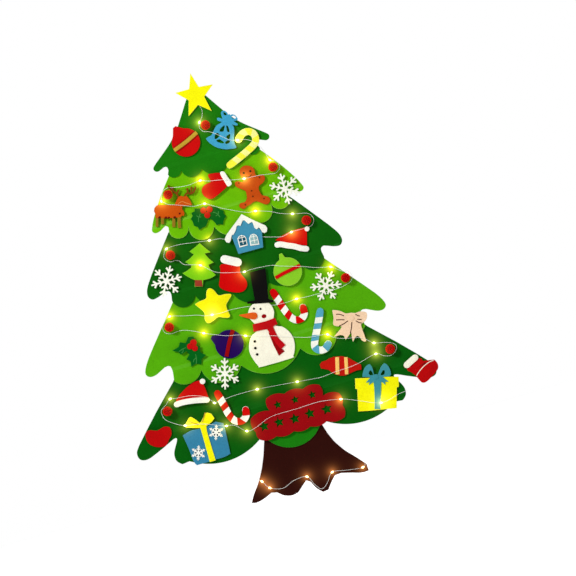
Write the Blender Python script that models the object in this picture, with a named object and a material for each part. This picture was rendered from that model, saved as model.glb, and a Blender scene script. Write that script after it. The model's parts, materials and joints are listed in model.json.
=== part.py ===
# Felt Christmas tree that hangs on a wall, with felt ornaments that pull off and a string of fairy lights.
# Metres, +Z up. The front looks along -Y, and the hanging eye behind the top is at the origin.
import math

import bmesh
import bpy

# Driving dimensions.
TREE_HEIGHT = 1.0
TIER_FELT = 0.003
ORNAMENT_FELT = 0.003
THIN_FELT = 0.002
FIT_GAP = 0.0003
PAD_THICKNESS = 0.0012
PAD_RADIUS = 0.0055
WIDE_PAD_RADIUS = 0.009
SUNK = 0.0005

STAR_WIDTH = 0.087
STAR_HEIGHT = 0.096
BAUBLE_DIAMETER = 0.065
BAUBLE_TIP_WIDTH = 0.007
BAUBLE_TIP_HEIGHT = 0.0115
BAUBLE_BAND_WIDTH = 0.0085
BELL_WIDTH = 0.08
CANE_FELT_WIDTH = 0.0165
YELLOW_CANE_LENGTH = 0.072
RED_CANE_LENGTH = 0.076
BLUE_CANE_LENGTH = 0.085
LOW_CANE_LENGTH = 0.075
MITTEN_WIDTH = 0.06
LOW_MITTEN_WIDTH = 0.060
GINGERBREAD_WIDTH = 0.074
FLAKE_DIAMETER = 0.073
REINDEER_WIDTH = 0.112
HOLLY_WIDTH = 0.079
LOW_HOLLY_WIDTH = 0.071
LITTLE_TREE_WIDTH = 0.075
HOUSE_WIDTH = 0.069
ROOF_WIDTH = 0.1
HAT_WIDTH = 0.077
HAT_BRIM_WIDTH = 0.0126
LOW_HAT_WIDTH = 0.074
LOW_HAT_BRIM_WIDTH = 0.0128
STOCKING_WIDTH = 0.063
STOCKING_CUFF_WIDTH = 0.0190
SNOWMAN_WIDTH = 0.1055
TOP_HAT_WIDTH = 0.0615
SCARF_WIDTH = 0.0585
BOW_WIDTH = 0.086
SOFT_STAR_WIDTH = 0.083
BLUE_GIFT_WIDTH = 0.096
YELLOW_RIBBON_WIDTH = 0.068
YELLOW_GIFT_WIDTH = 0.11
BLUE_RIBBON_WIDTH = 0.065
BANNER_WIDTH = 0.216
SWEET_WIDTH = 0.09
SWEET_BAND_WIDTH = 0.007
SWEET_BAND_LENGTH = 0.0388
BOOT_WIDTH = 0.071
BOOT_CUFF_WIDTH = 0.0145
POMPOM_RADIUS = 0.0115

WIRE_DIAMETER = 0.001
LAMP_DIAMETER = 0.0044
LAMP_LENGTH = 0.0056
EYE_CORD_DIAMETER = 0.002
EYE_WIDTH = 0.014
EYE_HEIGHT = 0.022

CELL_DIAMETER = 0.020
CELL_THICKNESS = 0.0032
CELL_CLEARANCE = 0.0004
CASE_WALL = 0.0016
CASE_LID = 0.0012
CELL_SPACING = 0.0226
SWITCH_LENGTH = 0.006
SWITCH_WIDTH = 0.0026
SWITCH_HEIGHT = 0.0044
SWITCH_TRAVEL = 0.003
OVERRUN = 0.004

# The pattern is drawn in shares of the tree's height: across from the left, and down from the top point.
CENTRE_SHARE = -0.003
EYE_DROP_SHARE = 0.045
# One step from a layer of felt to the next, and how far an ornament's back stands off the felt it is on.
LAYER_STEP = TIER_FELT + FIT_GAP
STAND_OFF = FIT_GAP + PAD_THICKNESS

# Each tier's right half from the top to the notch above its hem, then the hem's cusps with each lobe's sag.
# The tier lies flat on the wall down to its fold, and below the fold it lies over the tier underneath.
TIER_SIDE_SHARES = (
    ((0.010, -0.010), (0.026, -0.032), (0.057, -0.079), (0.078, -0.104), (0.101, -0.124), (0.130, -0.147),
     (0.137, -0.155), (0.135, -0.162), (0.127, -0.165), (0.113, -0.159), (0.106, -0.161), (0.105, -0.169)),
    ((0.098, -0.169), (0.112, -0.186), (0.141, -0.223), (0.167, -0.263), (0.177, -0.283), (0.179, -0.292),
     (0.173, -0.298), (0.161, -0.296), (0.147, -0.288), (0.141, -0.293)),
    ((0.132, -0.292), (0.147, -0.307), (0.190, -0.362), (0.222, -0.405), (0.230, -0.424), (0.228, -0.435),
     (0.220, -0.441), (0.205, -0.438), (0.186, -0.431), (0.178, -0.436), (0.178, -0.446)),
    ((0.170, -0.447), (0.190, -0.472), (0.230, -0.520), (0.267, -0.565), (0.281, -0.587), (0.284, -0.600),
     (0.276, -0.608), (0.260, -0.607), (0.238, -0.596), (0.225, -0.597), (0.223, -0.612)),
    ((0.214, -0.612), (0.230, -0.634), (0.285, -0.688), (0.343, -0.750), (0.353, -0.767), (0.350, -0.781),
     (0.338, -0.786), (0.322, -0.783), (0.286, -0.768), (0.262, -0.757), (0.256, -0.760), (0.263, -0.773),
     (0.272, -0.790), (0.271, -0.808), (0.260, -0.818)),
)
HEM_SHARES = (
    ((0.109, -0.178), (0.077, -0.177, 0.011), (0.031, -0.187, 0.017), (-0.031, -0.187, 0.020)),
    ((0.143, -0.304), (0.097, -0.306, 0.020), (0.041, -0.320, 0.030), (-0.041, -0.320, 0.031)),
    ((0.180, -0.456), (0.126, -0.458, 0.021), (0.043, -0.477, 0.025), (-0.043, -0.477, 0.033)),
    ((0.226, -0.632), (0.160, -0.625, 0.019), (0.070, -0.640, 0.035), (-0.070, -0.640, 0.037)),
    ((0.243, -0.816), (0.072, -0.810, 0.027), (-0.072, -0.810, 0.002)),
)
FOLD_START_SHARES = (-0.153, -0.279, -0.434, -0.599, -0.728)
FOLD_END_SHARES = (-0.163, -0.288, -0.443, -0.609, -0.742)
HEM_LAYERS = (1, 1, 1, 1, 2)
TIER_COLOURS = (
    (0.03, 0.19, 0.02), (0.16, 0.50, 0.03), (0.02, 0.13, 0.02), (0.12, 0.40, 0.02), (0.01, 0.10, 0.015),
)

SCALLOP_SHARES = ((0.066, -0.797), (0.066, -0.812), (-0.066, -0.812, 0.040), (-0.066, -0.797))
TRUNK_SHARES = (
    (-0.066, -0.795), (-0.071, -0.820), (-0.081, -0.850), (-0.093, -0.878), (-0.110, -0.908),
    (-0.128, -0.930), (-0.137, -0.947), (-0.126, -0.950), (-0.108, -0.946), (-0.088, -0.937),
    (-0.075, -0.940), (-0.062, -0.951), (-0.045, -0.957), (-0.028, -0.953), (-0.015, -0.941),
    (-0.004, -0.932), (0.005, -0.938), (0.013, -0.956), (0.026, -0.968), (0.039, -0.966),
    (0.051, -0.950), (0.062, -0.939), (0.077, -0.938), (0.100, -0.944), (0.122, -0.951),
    (0.139, -0.950), (0.138, -0.934), (0.120, -0.913), (0.098, -0.890), (0.082, -0.866),
    (0.072, -0.842), (0.066, -0.820), (0.066, -0.795),
)

# Colours that several pieces share.
RED = (0.60, 0.008, 0.010)
CREAM = (0.93, 0.88, 0.76)
YELLOW = (0.95, 0.88, 0.03)
LEAF_GREEN = (0.01, 0.12, 0.03)
GIFT_BLUE = (0.05, 0.22, 0.36)
BELL_BLUE = (0.05, 0.32, 0.50)


def across(share):
    """World x of a place on the pattern."""
    return (share - CENTRE_SHARE) * TREE_HEIGHT


def down(share):
    """World z of a place on the pattern, from the hanging eye."""
    return (share + EYE_DROP_SHARE) * TREE_HEIGHT


def arc(start, end, sag, steps):
    """Points after start, up to end, on an arc that bulges to the left of the way from start to end."""
    (x0, z0), (x1, z1) = start, end
    chord = math.hypot(x1 - x0, z1 - z0)
    half = 2 * math.atan2(2 * sag, chord)
    radius = chord / (2 * math.sin(half))
    along = ((x1 - x0) / chord, (z1 - z0) / chord)
    side = (-along[1], along[0])
    points = []
    for i in range(1, steps + 1):
        angle = -half + 2 * half * i / steps
        a = chord / 2 + radius * math.sin(angle)
        b = radius * math.cos(angle) - radius * math.cos(half)
        points.append((x0 + a * along[0] + b * side[0], z0 + a * along[1] + b * side[1]))
    return points


def curve_point(corners, t):
    """A point on the curve between the second and the third of four corners."""
    weights = (
        (-t + 2 * t * t - t ** 3) / 2,
        (2 - 5 * t * t + 3 * t ** 3) / 2,
        (t + 4 * t * t - 3 * t ** 3) / 2,
        (-t * t + t ** 3) / 2,
    )
    return tuple(sum(w * p[k] for w, p in zip(weights, corners)) for k in (0, 1))


def smooth(points, steps):
    """A closed curve through the points."""
    count = len(points)
    curve = []
    for i in range(count):
        corners = [points[(i + k - 1) % count] for k in range(4)]
        curve += [curve_point(corners, j / steps) for j in range(steps)]
    return curve


def smooth_path(points, steps):
    """An open curve through the points."""
    ends = [points[0], *points, points[-1]]
    curve = []
    for i in range(len(points) - 1):
        curve += [curve_point(ends[i:i + 4], j / steps) for j in range(steps)]
    return curve + [points[-1]]


def disc(radius, steps, centre=(0, 0)):
    """A round outline."""
    angles = [math.tau * i / steps for i in range(steps)]
    return [(centre[0] + radius * math.cos(a), centre[1] + radius * math.sin(a)) for a in angles]


def star(outer, inner, turn=0.0, points=5):
    """A star outline with one point up, turned by some radians."""
    return [
        (
            (outer, inner)[i % 2] * math.sin(turn + math.pi * i / points),
            (outer, inner)[i % 2] * math.cos(turn + math.pi * i / points),
        )
        for i in range(2 * points)
    ]


def strip(path, half_width, end_steps=4):
    """The outline of a strip of felt along a path, with round ends."""
    sides = ([], [])
    for i, point in enumerate(path):
        before, after = path[max(i - 1, 0)], path[min(i + 1, len(path) - 1)]
        length = math.hypot(after[0] - before[0], after[1] - before[1])
        normal = ((before[1] - after[1]) / length, (after[0] - before[0]) / length)
        sides[0].append((point[0] + half_width * normal[0], point[1] + half_width * normal[1]))
        sides[1].append((point[0] - half_width * normal[0], point[1] - half_width * normal[1]))
    outline = sides[1][:]
    for end, start, stop in ((path[-1], sides[1][-1], sides[0][-1]), (path[0], sides[0][0], sides[1][0])):
        begin = math.atan2(start[1] - end[1], start[0] - end[0])
        for k in range(1, end_steps):
            angle = begin + math.pi * k / end_steps
            outline.append((end[0] + half_width * math.cos(angle), end[1] + half_width * math.sin(angle)))
        if end is path[-1]:
            outline += sides[0][::-1]
    return outline


def extent(points, axis=0):
    """How far some points reach along x, or along z with axis 1."""
    values = [p[axis] for p in points]
    return max(values) - min(values)


def scaled(points, across_scale, up_scale=None):
    """Points in metres from points in shares."""
    up_scale = across_scale if up_scale is None else up_scale
    return [(x * across_scale, z * up_scale) for x, z in points]


def turned(points, angle):
    """Points turned by some radians about their own place."""
    c, s = math.cos(angle), math.sin(angle)
    return [(a * c - b * s, a * s + b * c) for a, b in points]


def felt_material(name, colour, roughness=0.95, metallic=0.0):
    """A Principled material with one colour."""
    material = bpy.data.materials.new(name)
    material.use_nodes = True
    shader = material.node_tree.nodes["Principled BSDF"]
    shader.inputs["Base Color"].default_value = (*colour, 1)
    shader.inputs["Roughness"].default_value = roughness
    shader.inputs["Metallic"].default_value = metallic
    return material


def add_object(name, mesh, colour, roughness=0.95, metallic=0.0):
    """Puts a mesh or a curve in the scene with its own material."""
    item = bpy.data.objects.new(name, mesh)
    bpy.context.collection.objects.link(item)
    mesh.materials.append(felt_material(name, colour, roughness, metallic))
    return item


def plate_mesh(name, outline, back, thickness, holes=()):
    """A sheet of felt cut to an outline in XZ, from its back's y towards -Y, with holes through it."""
    shape = bmesh.new()
    edges = []
    for loop in (outline, *holes):
        corners = [shape.verts.new((x, back, z)) for x, z in loop]
        edges += [shape.edges.new((corners[i - 1], corners[i])) for i in range(len(corners))]
    if holes:
        bmesh.ops.triangle_fill(shape, use_beauty=True, use_dissolve=False, edges=edges)
    else:
        bmesh.ops.contextual_create(shape, geom=edges)
    grown = bmesh.ops.extrude_face_region(shape, geom=shape.faces[:])["geom"]
    front = [v for v in grown if isinstance(v, bmesh.types.BMVert)]
    bmesh.ops.translate(shape, verts=front, vec=(0, -thickness, 0))
    bmesh.ops.recalc_face_normals(shape, faces=shape.faces[:])
    mesh = bpy.data.meshes.new(name)
    shape.to_mesh(mesh)
    shape.free()
    return mesh


def hidden_shape(owner, mesh):
    """A guide that joins or cuts its owner and is left out of the model."""
    guide = bpy.data.objects.new(mesh.name, mesh)
    bpy.context.collection.objects.link(guide)
    guide.parent = owner
    guide.hide_render = True
    guide.display_type = "WIRE"
    return guide


def combine(owner, mesh, operation):
    """Joins a shape to its owner, or cuts it out."""
    modifier = owner.modifiers.new(mesh.name, "BOOLEAN")
    modifier.object = hidden_shape(owner, mesh)
    modifier.operation = operation


def tier(number):
    """One green tier, folded forwards over the top of the tier below."""
    side = TIER_SIDE_SHARES[number]
    hem = HEM_SHARES[number]
    right = smooth_path(side, 2) + [hem[0]]
    for *cusp, sag in hem[1:-1]:
        right += arc(right[-1], cusp, sag, 8)
    *last_cusp, sag = hem[-1]
    centre = arc(right[-1], last_cusp, sag, 8)[:-1]
    outline = right + centre + [(-x, z) for x, z in reversed(right)]
    world = [(x * TREE_HEIGHT, down(z)) for x, z in outline]
    start, end = down(FOLD_START_SHARES[number]), down(FOLD_END_SHARES[number])
    lift = HEM_LAYERS[number] * LAYER_STEP
    mesh = plate_mesh(f"tier_{number + 1}", world, 0, TIER_FELT)
    shape = bmesh.new()
    shape.from_mesh(mesh)
    for height in (start, end):
        whole = shape.verts[:] + shape.edges[:] + shape.faces[:]
        bmesh.ops.bisect_plane(shape, geom=whole, plane_co=(0, 0, height), plane_no=(0, 0, 1))
    for corner in shape.verts:
        share = min(max((start - corner.co.z) / (start - end), 0), 1)
        corner.co.y -= lift * share
    shape.to_mesh(mesh)
    shape.free()
    return add_object(f"tier_{number + 1}", mesh, TIER_COLOURS[number])


def flat_piece(name, shares, layer, colour):
    """A flat piece of the tree itself, on one layer."""
    outline = [(across(x), down(z)) for x, z in shares]
    mesh = plate_mesh(name, outline, -layer * LAYER_STEP, TIER_FELT)
    return add_object(name, mesh, colour)


def place_of(name):
    """An ornament's place on the pattern."""
    return next(row[1:] for row in ORNAMENT_PLACE_SHARES if row[0] == name)


def front_of(layer):
    """World y of the front of the tree's felt on a layer."""
    return -(layer * LAYER_STEP + TIER_FELT)


class Ornament:
    """A felt ornament that sticks to the tree with a hook pad, drawn round its own place."""

    def __init__(self, name, layer, outline, colour, holes=(), scale=1.0, turn=0.0):
        self.name = name
        self.layer = layer
        self.scale = scale
        self.item = add_object(name, plate_mesh(name, outline, 0, ORNAMENT_FELT, holes), colour)
        place = place_of(name)
        self.item.location = (across(place[0]), front_of(layer) - STAND_OFF, down(place[1]))
        self.item.rotation_euler = (0, turn, 0)

    def pad(self, place_share=(0, 0), layer=None, radius=PAD_RADIUS):
        """The hook pad behind the ornament, long enough to reach the felt on its layer."""
        reach = PAD_THICKNESS + (self.layer - (self.layer if layer is None else layer)) * LAYER_STEP
        centre = scaled([place_share], self.scale)[0]
        mesh = plate_mesh(f"{self.name}_pad", disc(radius, 12, centre), reach, reach + SUNK)
        combine(self.item, mesh, "UNION")
        return self

    def raise_shape(self, label, outline):
        """A thin felt shape glued to the front of the ornament."""
        mesh = plate_mesh(f"{self.name}_{label}", outline, SUNK - ORNAMENT_FELT, THIN_FELT + SUNK)
        combine(self.item, mesh, "UNION")

    def raise_strip(self, label, path_shares, width):
        """A thin felt strip along a path on the front of the ornament."""
        path = smooth_path(scaled(path_shares, self.scale), 3)
        self.raise_shape(label, strip(path, width / 2))

    def layer_on(self, name, shares, width, colour, hole_shares=()):
        """A thin felt layer on the front of the ornament, as a piece of its own."""
        scale = width / extent(shares)
        holes = [scaled(hole, scale) for hole in hole_shares]
        mesh = plate_mesh(name, scaled(shares, scale), -ORNAMENT_FELT - FIT_GAP, THIN_FELT, holes)
        add_object(name, mesh, colour).parent = self.item


def cut_out(name, layer, shares, width, colour, rounded=0, hole_shares=()):
    """An ornament cut to an outline in shares, at its real width, with its corners kept or rounded."""
    scale = width / extent(shares)
    outline = scaled(shares, scale)
    if rounded:
        outline = smooth(outline, rounded)
    return Ornament(name, layer, outline, colour, [scaled(hole, scale) for hole in hole_shares], scale)


def flake_outline():
    """A six-armed snowflake in shares of its radius."""
    arm = (
        (0.30, 0.055), (0.44, 0.24), (0.53, 0.19), (0.43, 0.055), (0.60, 0.055), (0.76, 0.25), (0.86, 0.19),
        (0.75, 0.055), (0.98, 0.050),
    )
    outline = []
    for k in range(6):
        angle = math.pi * k / 3
        c, s = math.cos(angle), math.sin(angle)
        notch = angle - math.pi / 6
        outline.append((0.15 * math.cos(notch), 0.15 * math.sin(notch)))
        points = [(a, -b) for a, b in arm] + [(a, b) for a, b in reversed(arm)]
        outline += [(a * c - b * s, a * s + b * c) for a, b in points]
    return outline


# Outlines of the ornaments, in shares that are scaled to each ornament's width.
BELL_SHARES = (
    (-0.37, -0.04), (-0.25, -0.02), (-0.16, 0.04), (-0.10, 0.14), (0.00, 0.20), (0.07, 0.23),
    (-0.01, 0.28), (-0.01, 0.34), (0.09, 0.32), (0.14, 0.44), (0.21, 0.45), (0.23, 0.37), (0.30, 0.36),
    (0.30, 0.31), (0.37, 0.31), (0.37, 0.24), (0.43, 0.20), (0.35, 0.16), (0.40, 0.08), (0.31, 0.09),
    (0.28, -0.04), (0.22, -0.15), (0.19, -0.21), (0.21, -0.33), (0.24, -0.40), (0.13, -0.43),
    (0.00, -0.40), (-0.13, -0.34), (-0.24, -0.26), (-0.32, -0.16),
)
BELL_HOLE_SHARES = (
    ((0.11, 0.12), (0.15, -0.03), (0.02, 0.03)),
    ((-0.02, 0.06), (0.00, 0.02), (-0.10, -0.05), (-0.16, -0.08), (-0.11, 0.00)),
    ((-0.18, -0.12), (-0.09, -0.14), (-0.09, -0.20), (-0.16, -0.18)),
    ((-0.06, -0.21), (0.02, -0.20), (0.08, -0.28), (-0.02, -0.26)),
    ((0.11, -0.13), (0.15, -0.12), (0.12, -0.25), (0.08, -0.21)),
)
YELLOW_CANE_SHARES = (
    (-0.36, -0.29), (-0.04, -0.16), (0.25, -0.02), (0.34, 0.08), (0.34, 0.22), (0.24, 0.31), (0.10, 0.30),
    (-0.02, 0.20),
)
RED_CANE_SHARES = (
    (-0.27, 0.42), (-0.18, 0.10), (-0.08, -0.18), (0.03, -0.32), (0.17, -0.34), (0.27, -0.25),
    (0.28, -0.10),
)
BLUE_CANE_SHARES = (
    (0.17, 0.43), (0.03, 0.14), (-0.13, -0.17), (-0.17, -0.32), (-0.09, -0.41), (0.04, -0.42),
    (0.14, -0.33),
)
LOW_CANE_SHARES = (
    (-0.26, 0.33), (-0.20, 0.08), (-0.14, -0.22), (-0.04, -0.38), (0.10, -0.42), (0.22, -0.34),
    (0.25, -0.20),
)
MITTEN_SHARES = (
    (-0.10, 0.28), (-0.02, 0.28), (0.17, 0.24), (0.21, 0.08), (0.25, -0.09), (0.11, -0.17), (-0.02, -0.23),
    (-0.15, -0.28), (-0.25, -0.25), (-0.33, -0.16), (-0.35, -0.04), (-0.29, 0.05), (-0.19, 0.09),
    (-0.09, 0.10), (-0.10, 0.18), (-0.11, 0.23),
)
MITTEN_CUFF_SHARES = (
    (0.18, 0.24), (0.26, 0.24), (0.31, 0.08), (0.36, -0.07), (0.26, -0.10), (0.22, 0.07),
)
LOW_MITTEN_SHARES = (
    (-0.28, 0.22), (-0.16, 0.24), (0.00, 0.18), (0.16, 0.23), (0.30, 0.18), (0.31, 0.02), (0.20, -0.10),
    (0.10, -0.22), (-0.08, -0.21), (-0.26, -0.10), (-0.32, 0.06),
)
GINGERBREAD_SHARES = (
    (-0.16, 0.39), (-0.12, 0.46), (-0.03, 0.50), (0.06, 0.48), (0.14, 0.43), (0.18, 0.35), (0.17, 0.26),
    (0.20, 0.19), (0.27, 0.20), (0.34, 0.18), (0.36, 0.10), (0.31, 0.02), (0.22, -0.02), (0.18, -0.04),
    (0.15, -0.10), (0.16, -0.18), (0.18, -0.25), (0.25, -0.29), (0.32, -0.34), (0.33, -0.43),
    (0.26, -0.49), (0.18, -0.47), (0.11, -0.41), (0.02, -0.35), (-0.07, -0.36), (-0.13, -0.39),
    (-0.21, -0.40), (-0.28, -0.44), (-0.36, -0.41), (-0.38, -0.34), (-0.33, -0.29), (-0.24, -0.30),
    (-0.17, -0.24), (-0.15, -0.14), (-0.15, -0.06), (-0.22, 0.00), (-0.31, 0.07), (-0.34, 0.13),
    (-0.32, 0.20), (-0.25, 0.20), (-0.16, 0.15), (-0.12, 0.21), (-0.16, 0.28),
)
REINDEER_SHARES = (
    (-0.46, 0.08), (-0.39, 0.11), (-0.21, 0.05), (-0.08, 0.01), (0.02, 0.09), (0.11, 0.17), (0.18, 0.19),
    (0.14, 0.23), (0.05, 0.26), (0.06, 0.33), (0.17, 0.30), (0.20, 0.26), (0.25, 0.27), (0.36, 0.30),
    (0.45, 0.31), (0.56, 0.28), (0.57, 0.22), (0.52, 0.15), (0.42, 0.13), (0.31, 0.16), (0.26, 0.15),
    (0.31, 0.08), (0.34, -0.01), (0.37, -0.10), (0.32, -0.13), (0.13, -0.07), (0.10, -0.15), (0.14, -0.25),
    (0.11, -0.29), (0.06, -0.27), (0.03, -0.33), (-0.03, -0.56), (-0.11, -0.53), (-0.06, -0.31),
    (-0.10, -0.30), (-0.18, -0.52), (-0.26, -0.49), (-0.20, -0.27), (-0.28, -0.24), (-0.35, -0.40),
    (-0.41, -0.38), (-0.37, -0.21), (-0.42, -0.20), (-0.48, -0.36), (-0.55, -0.33), (-0.51, -0.17),
    (-0.52, -0.12), (-0.46, -0.01),
)
HOLLY_SHARES = (
    (-0.10, 0.20), (-0.23, 0.23), (-0.25, 0.17), (-0.33, 0.16), (-0.32, 0.08), (-0.38, 0.03),
    (-0.35, -0.04), (-0.35, -0.14), (-0.28, -0.18), (-0.26, -0.27), (-0.18, -0.23), (-0.10, -0.23),
    (-0.04, -0.15), (0.00, -0.09), (0.07, -0.10), (0.12, -0.19), (0.15, -0.27), (0.22, -0.26),
    (0.29, -0.30), (0.32, -0.21), (0.41, -0.13), (0.37, -0.06), (0.39, 0.01), (0.31, 0.06), (0.28, 0.11),
    (0.20, 0.16), (0.13, 0.18), (0.04, 0.22), (-0.05, 0.23),
)
BERRIES_SHARES = (
    (-0.11, 0.18), (-0.05, 0.21), (0.01, 0.19), (0.05, 0.20), (0.11, 0.19), (0.16, 0.13), (0.15, 0.07),
    (0.11, 0.03), (0.07, -0.03), (0.01, -0.07), (-0.05, -0.03), (-0.06, 0.06), (-0.11, 0.10),
)
LOW_HOLLY_SHARES = (
    (-0.45, 0.02), (-0.28, 0.06), (-0.22, 0.16), (-0.10, 0.10), (0.00, 0.22), (0.12, 0.20), (0.14, 0.04),
    (0.10, -0.04), (0.20, -0.05), (0.17, -0.20), (0.28, -0.30), (0.15, -0.36), (0.12, -0.48), (0.00, -0.42),
    (-0.13, -0.47), (-0.10, -0.33), (-0.19, -0.27), (-0.09, -0.18), (-0.13, -0.08), (-0.28, -0.13),
    (-0.32, -0.05),
)
LITTLE_TREE_SHARES = (
    (0.18, 0.49), (0.26, 0.36), (0.36, 0.22), (0.22, 0.23), (0.27, 0.11), (0.36, -0.02), (0.23, -0.04),
    (0.25, -0.17), (0.33, -0.31), (0.20, -0.35), (0.02, -0.34), (-0.03, -0.48), (-0.21, -0.43),
    (-0.16, -0.29), (-0.26, -0.21), (-0.39, -0.06), (-0.26, -0.03), (-0.16, 0.01), (-0.15, 0.06),
    (-0.26, 0.17), (-0.14, 0.21), (-0.02, 0.28), (-0.10, 0.37), (0.03, 0.42),
)
WALL_SHARES = (
    (-0.33, 0.04), (-0.29, -0.40), (0.29, -0.41), (0.36, -0.06), (0.15, 0.32), (0.02, 0.39), (-0.18, 0.24),
)
ROOF_SHARES = (
    (0.03, 0.45), (0.25, 0.24), (0.48, 0.05), (0.50, -0.02), (0.47, -0.09), (0.41, -0.11), (0.36, -0.07),
    (0.35, -0.01), (0.32, 0.05), (0.26, 0.02), (0.22, 0.07), (0.22, 0.14), (0.21, 0.21), (0.17, 0.21),
    (0.12, 0.19), (0.09, 0.23), (0.05, 0.30), (0.01, 0.30), (-0.03, 0.25), (-0.07, 0.20), (-0.12, 0.23),
    (-0.16, 0.21), (-0.19, 0.14), (-0.24, 0.09), (-0.28, 0.05), (-0.31, 0.06), (-0.34, 0.01),
    (-0.37, -0.06), (-0.42, -0.10), (-0.48, -0.07), (-0.50, 0.00), (-0.46, 0.07), (-0.36, 0.15),
    (-0.16, 0.30),
)
WINDOW_SHARES = (
    ((-0.23, -0.28), (-0.03, -0.28), (-0.01, -0.09), (-0.03, -0.04), (-0.10, 0.00),
     (-0.18, 0.00), (-0.23, -0.06)),
    ((0.01, -0.30), (0.23, -0.34), (0.25, -0.16), (0.23, -0.09), (0.17, -0.04),
     (0.08, -0.05), (0.03, -0.13)),
)
HAT_SHARES = (
    (-0.36, 0.15), (-0.12, 0.23), (0.20, 0.26), (0.42, 0.24), (0.38, 0.08), (0.31, -0.17), (0.00, -0.05),
)
HAT_BRIM_SHARES = ((-0.34, 0.06), (0.00, -0.07), (0.34, -0.23))
LOW_HAT_SHARES = (
    (-0.42, -0.13), (-0.40, -0.02), (-0.25, 0.10), (-0.04, 0.21), (0.13, 0.26), (0.27, 0.24), (0.30, 0.12),
    (0.32, -0.17), (0.29, -0.22), (-0.02, -0.15), (-0.27, -0.12),
)
LOW_HAT_BRIM_SHARES = (
    (-0.43, -0.13), (-0.27, -0.12), (-0.02, -0.15), (0.28, -0.22),
)
STOCKING_SHARES = (
    (-0.19, 0.35), (0.20, 0.22), (0.17, 0.06), (0.21, -0.05), (0.26, -0.16), (0.25, -0.27), (0.18, -0.36),
    (0.04, -0.39), (-0.17, -0.31), (-0.34, -0.19), (-0.37, -0.09), (-0.31, 0.04), (-0.24, 0.23),
)
STOCKING_CUFF_SHARES = (
    (-0.07, 0.42), (0.18, 0.29),
)
SNOWMAN_SHARES = (
    (0.235, 0.355), (0.36, 0.3), (0.48, 0.16), (0.545, -0.05), (0.5, -0.28), (0.42, -0.42), (0.38, -0.455),
    (-0.33, -0.455), (-0.4, -0.42), (-0.47, -0.25), (-0.51, -0.05), (-0.45, 0.16), (-0.34, 0.3),
    (-0.22, 0.355), (-0.22, 0.535), (-0.3, 0.68), (-0.285, 0.82), (-0.2, 0.93), (-0.05, 0.985), (0.2, 0.92),
    (0.275, 0.8), (0.285, 0.66), (0.235, 0.535),
)
TOP_HAT_SHARES = (
    (0.005, 1.675), (0.37, 1.675), (0.245, 0.98), (0.345, 0.925), (0.34, 0.875), (0.0, 0.945),
    (-0.245, 1.01), (-0.245, 1.055), (-0.065, 1.04),
)
SCARF_SHARES = (
    (-0.27, 0.54), (0.265, 0.54), (0.265, 0.36), (0.155, 0.355), (0.19, 0.12), (0.315, -0.08),
    (0.235, -0.13), (0.27, -0.26), (0.1, -0.3), (0.045, 0.0), (0.005, 0.355), (-0.27, 0.355),
)
NOSE_SHARES = ((-0.495, 0.8), (-0.15, 0.755), (-0.09, 0.69), (-0.13, 0.62), (-0.3, 0.7))
BOW_SHARES = (
    (-0.39, 0.35), (-0.34, 0.36), (-0.21, 0.30), (-0.11, 0.21), (0.00, 0.20), (0.10, 0.16), (0.19, 0.17),
    (0.32, 0.13), (0.35, 0.06), (0.30, -0.05), (0.19, -0.11), (0.15, -0.13), (0.15, -0.27), (0.16, -0.52),
    (0.07, -0.48), (0.05, -0.40), (0.00, -0.35), (-0.07, -0.38), (-0.13, -0.45), (-0.13, -0.35),
    (-0.11, -0.24), (-0.15, -0.26), (-0.28, -0.36), (-0.29, -0.27), (-0.35, -0.23), (-0.41, -0.22),
    (-0.51, -0.22), (-0.39, -0.14), (-0.28, -0.05), (-0.36, -0.02), (-0.44, 0.02), (-0.45, 0.08),
    (-0.40, 0.20),
)
BLUE_GIFT_SHARES = (
    (-0.46, 0.25), (-0.35, 0.28), (-0.23, 0.31), (-0.05, 0.28), (0.16, 0.30), (0.34, 0.34), (0.50, 0.26),
    (0.50, 0.09), (0.46, -0.45), (0.30, -0.49), (0.13, -0.48), (-0.07, -0.49), (-0.34, -0.49),
    (-0.39, -0.41), (-0.41, -0.10),
)
GIFT_BOW_SHARES = (
    (-0.34, 0.41), (-0.34, 0.46), (-0.21, 0.60), (-0.16, 0.60), (-0.07, 0.51), (0.00, 0.39), (0.04, 0.45),
    (0.15, 0.57), (0.21, 0.60), (0.30, 0.54), (0.34, 0.42), (0.24, 0.35), (0.11, 0.30), (0.09, 0.16),
    (0.10, -0.50), (-0.04, -0.50), (-0.03, 0.11), (-0.03, 0.30), (-0.17, 0.34),
)
YELLOW_GIFT_SHARES = (
    (-0.40, 0.36), (-0.07, 0.28), (0.31, 0.20), (0.56, 0.12), (0.50, -0.10), (0.45, -0.10), (0.39, -0.31),
    (0.32, -0.55), (0.06, -0.50), (-0.27, -0.44), (-0.54, -0.38), (-0.48, -0.13), (-0.42, 0.11),
    (-0.46, 0.13),
)
BLUE_BOW_SHARES = (
    (0.03, 0.31), (0.05, 0.49), (0.01, 0.58), (-0.04, 0.58), (-0.12, 0.54), (-0.19, 0.45), (-0.23, 0.35),
    (-0.06, 0.29), (-0.19, 0.20), (-0.11, 0.19), (-0.14, 0.13), (-0.02, 0.17), (-0.05, -0.02),
    (-0.17, -0.43), (-0.04, -0.47), (0.09, -0.06), (0.15, 0.13), (0.22, 0.03), (0.23, 0.10), (0.31, 0.08),
    (0.21, 0.22), (0.37, 0.19), (0.41, 0.22), (0.42, 0.36), (0.38, 0.47), (0.33, 0.51), (0.24, 0.46),
    (0.12, 0.30),
)
BLUE_BOW_HOLE_SHARES = (
    ((-0.05, 0.42), (-0.01, 0.44), (0.02, 0.37), (0.01, 0.32), (-0.05, 0.33), (-0.08, 0.38)),
    ((0.18, 0.29), (0.25, 0.36), (0.29, 0.36), (0.29, 0.31), (0.26, 0.26), (0.19, 0.26)),
)
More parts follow.
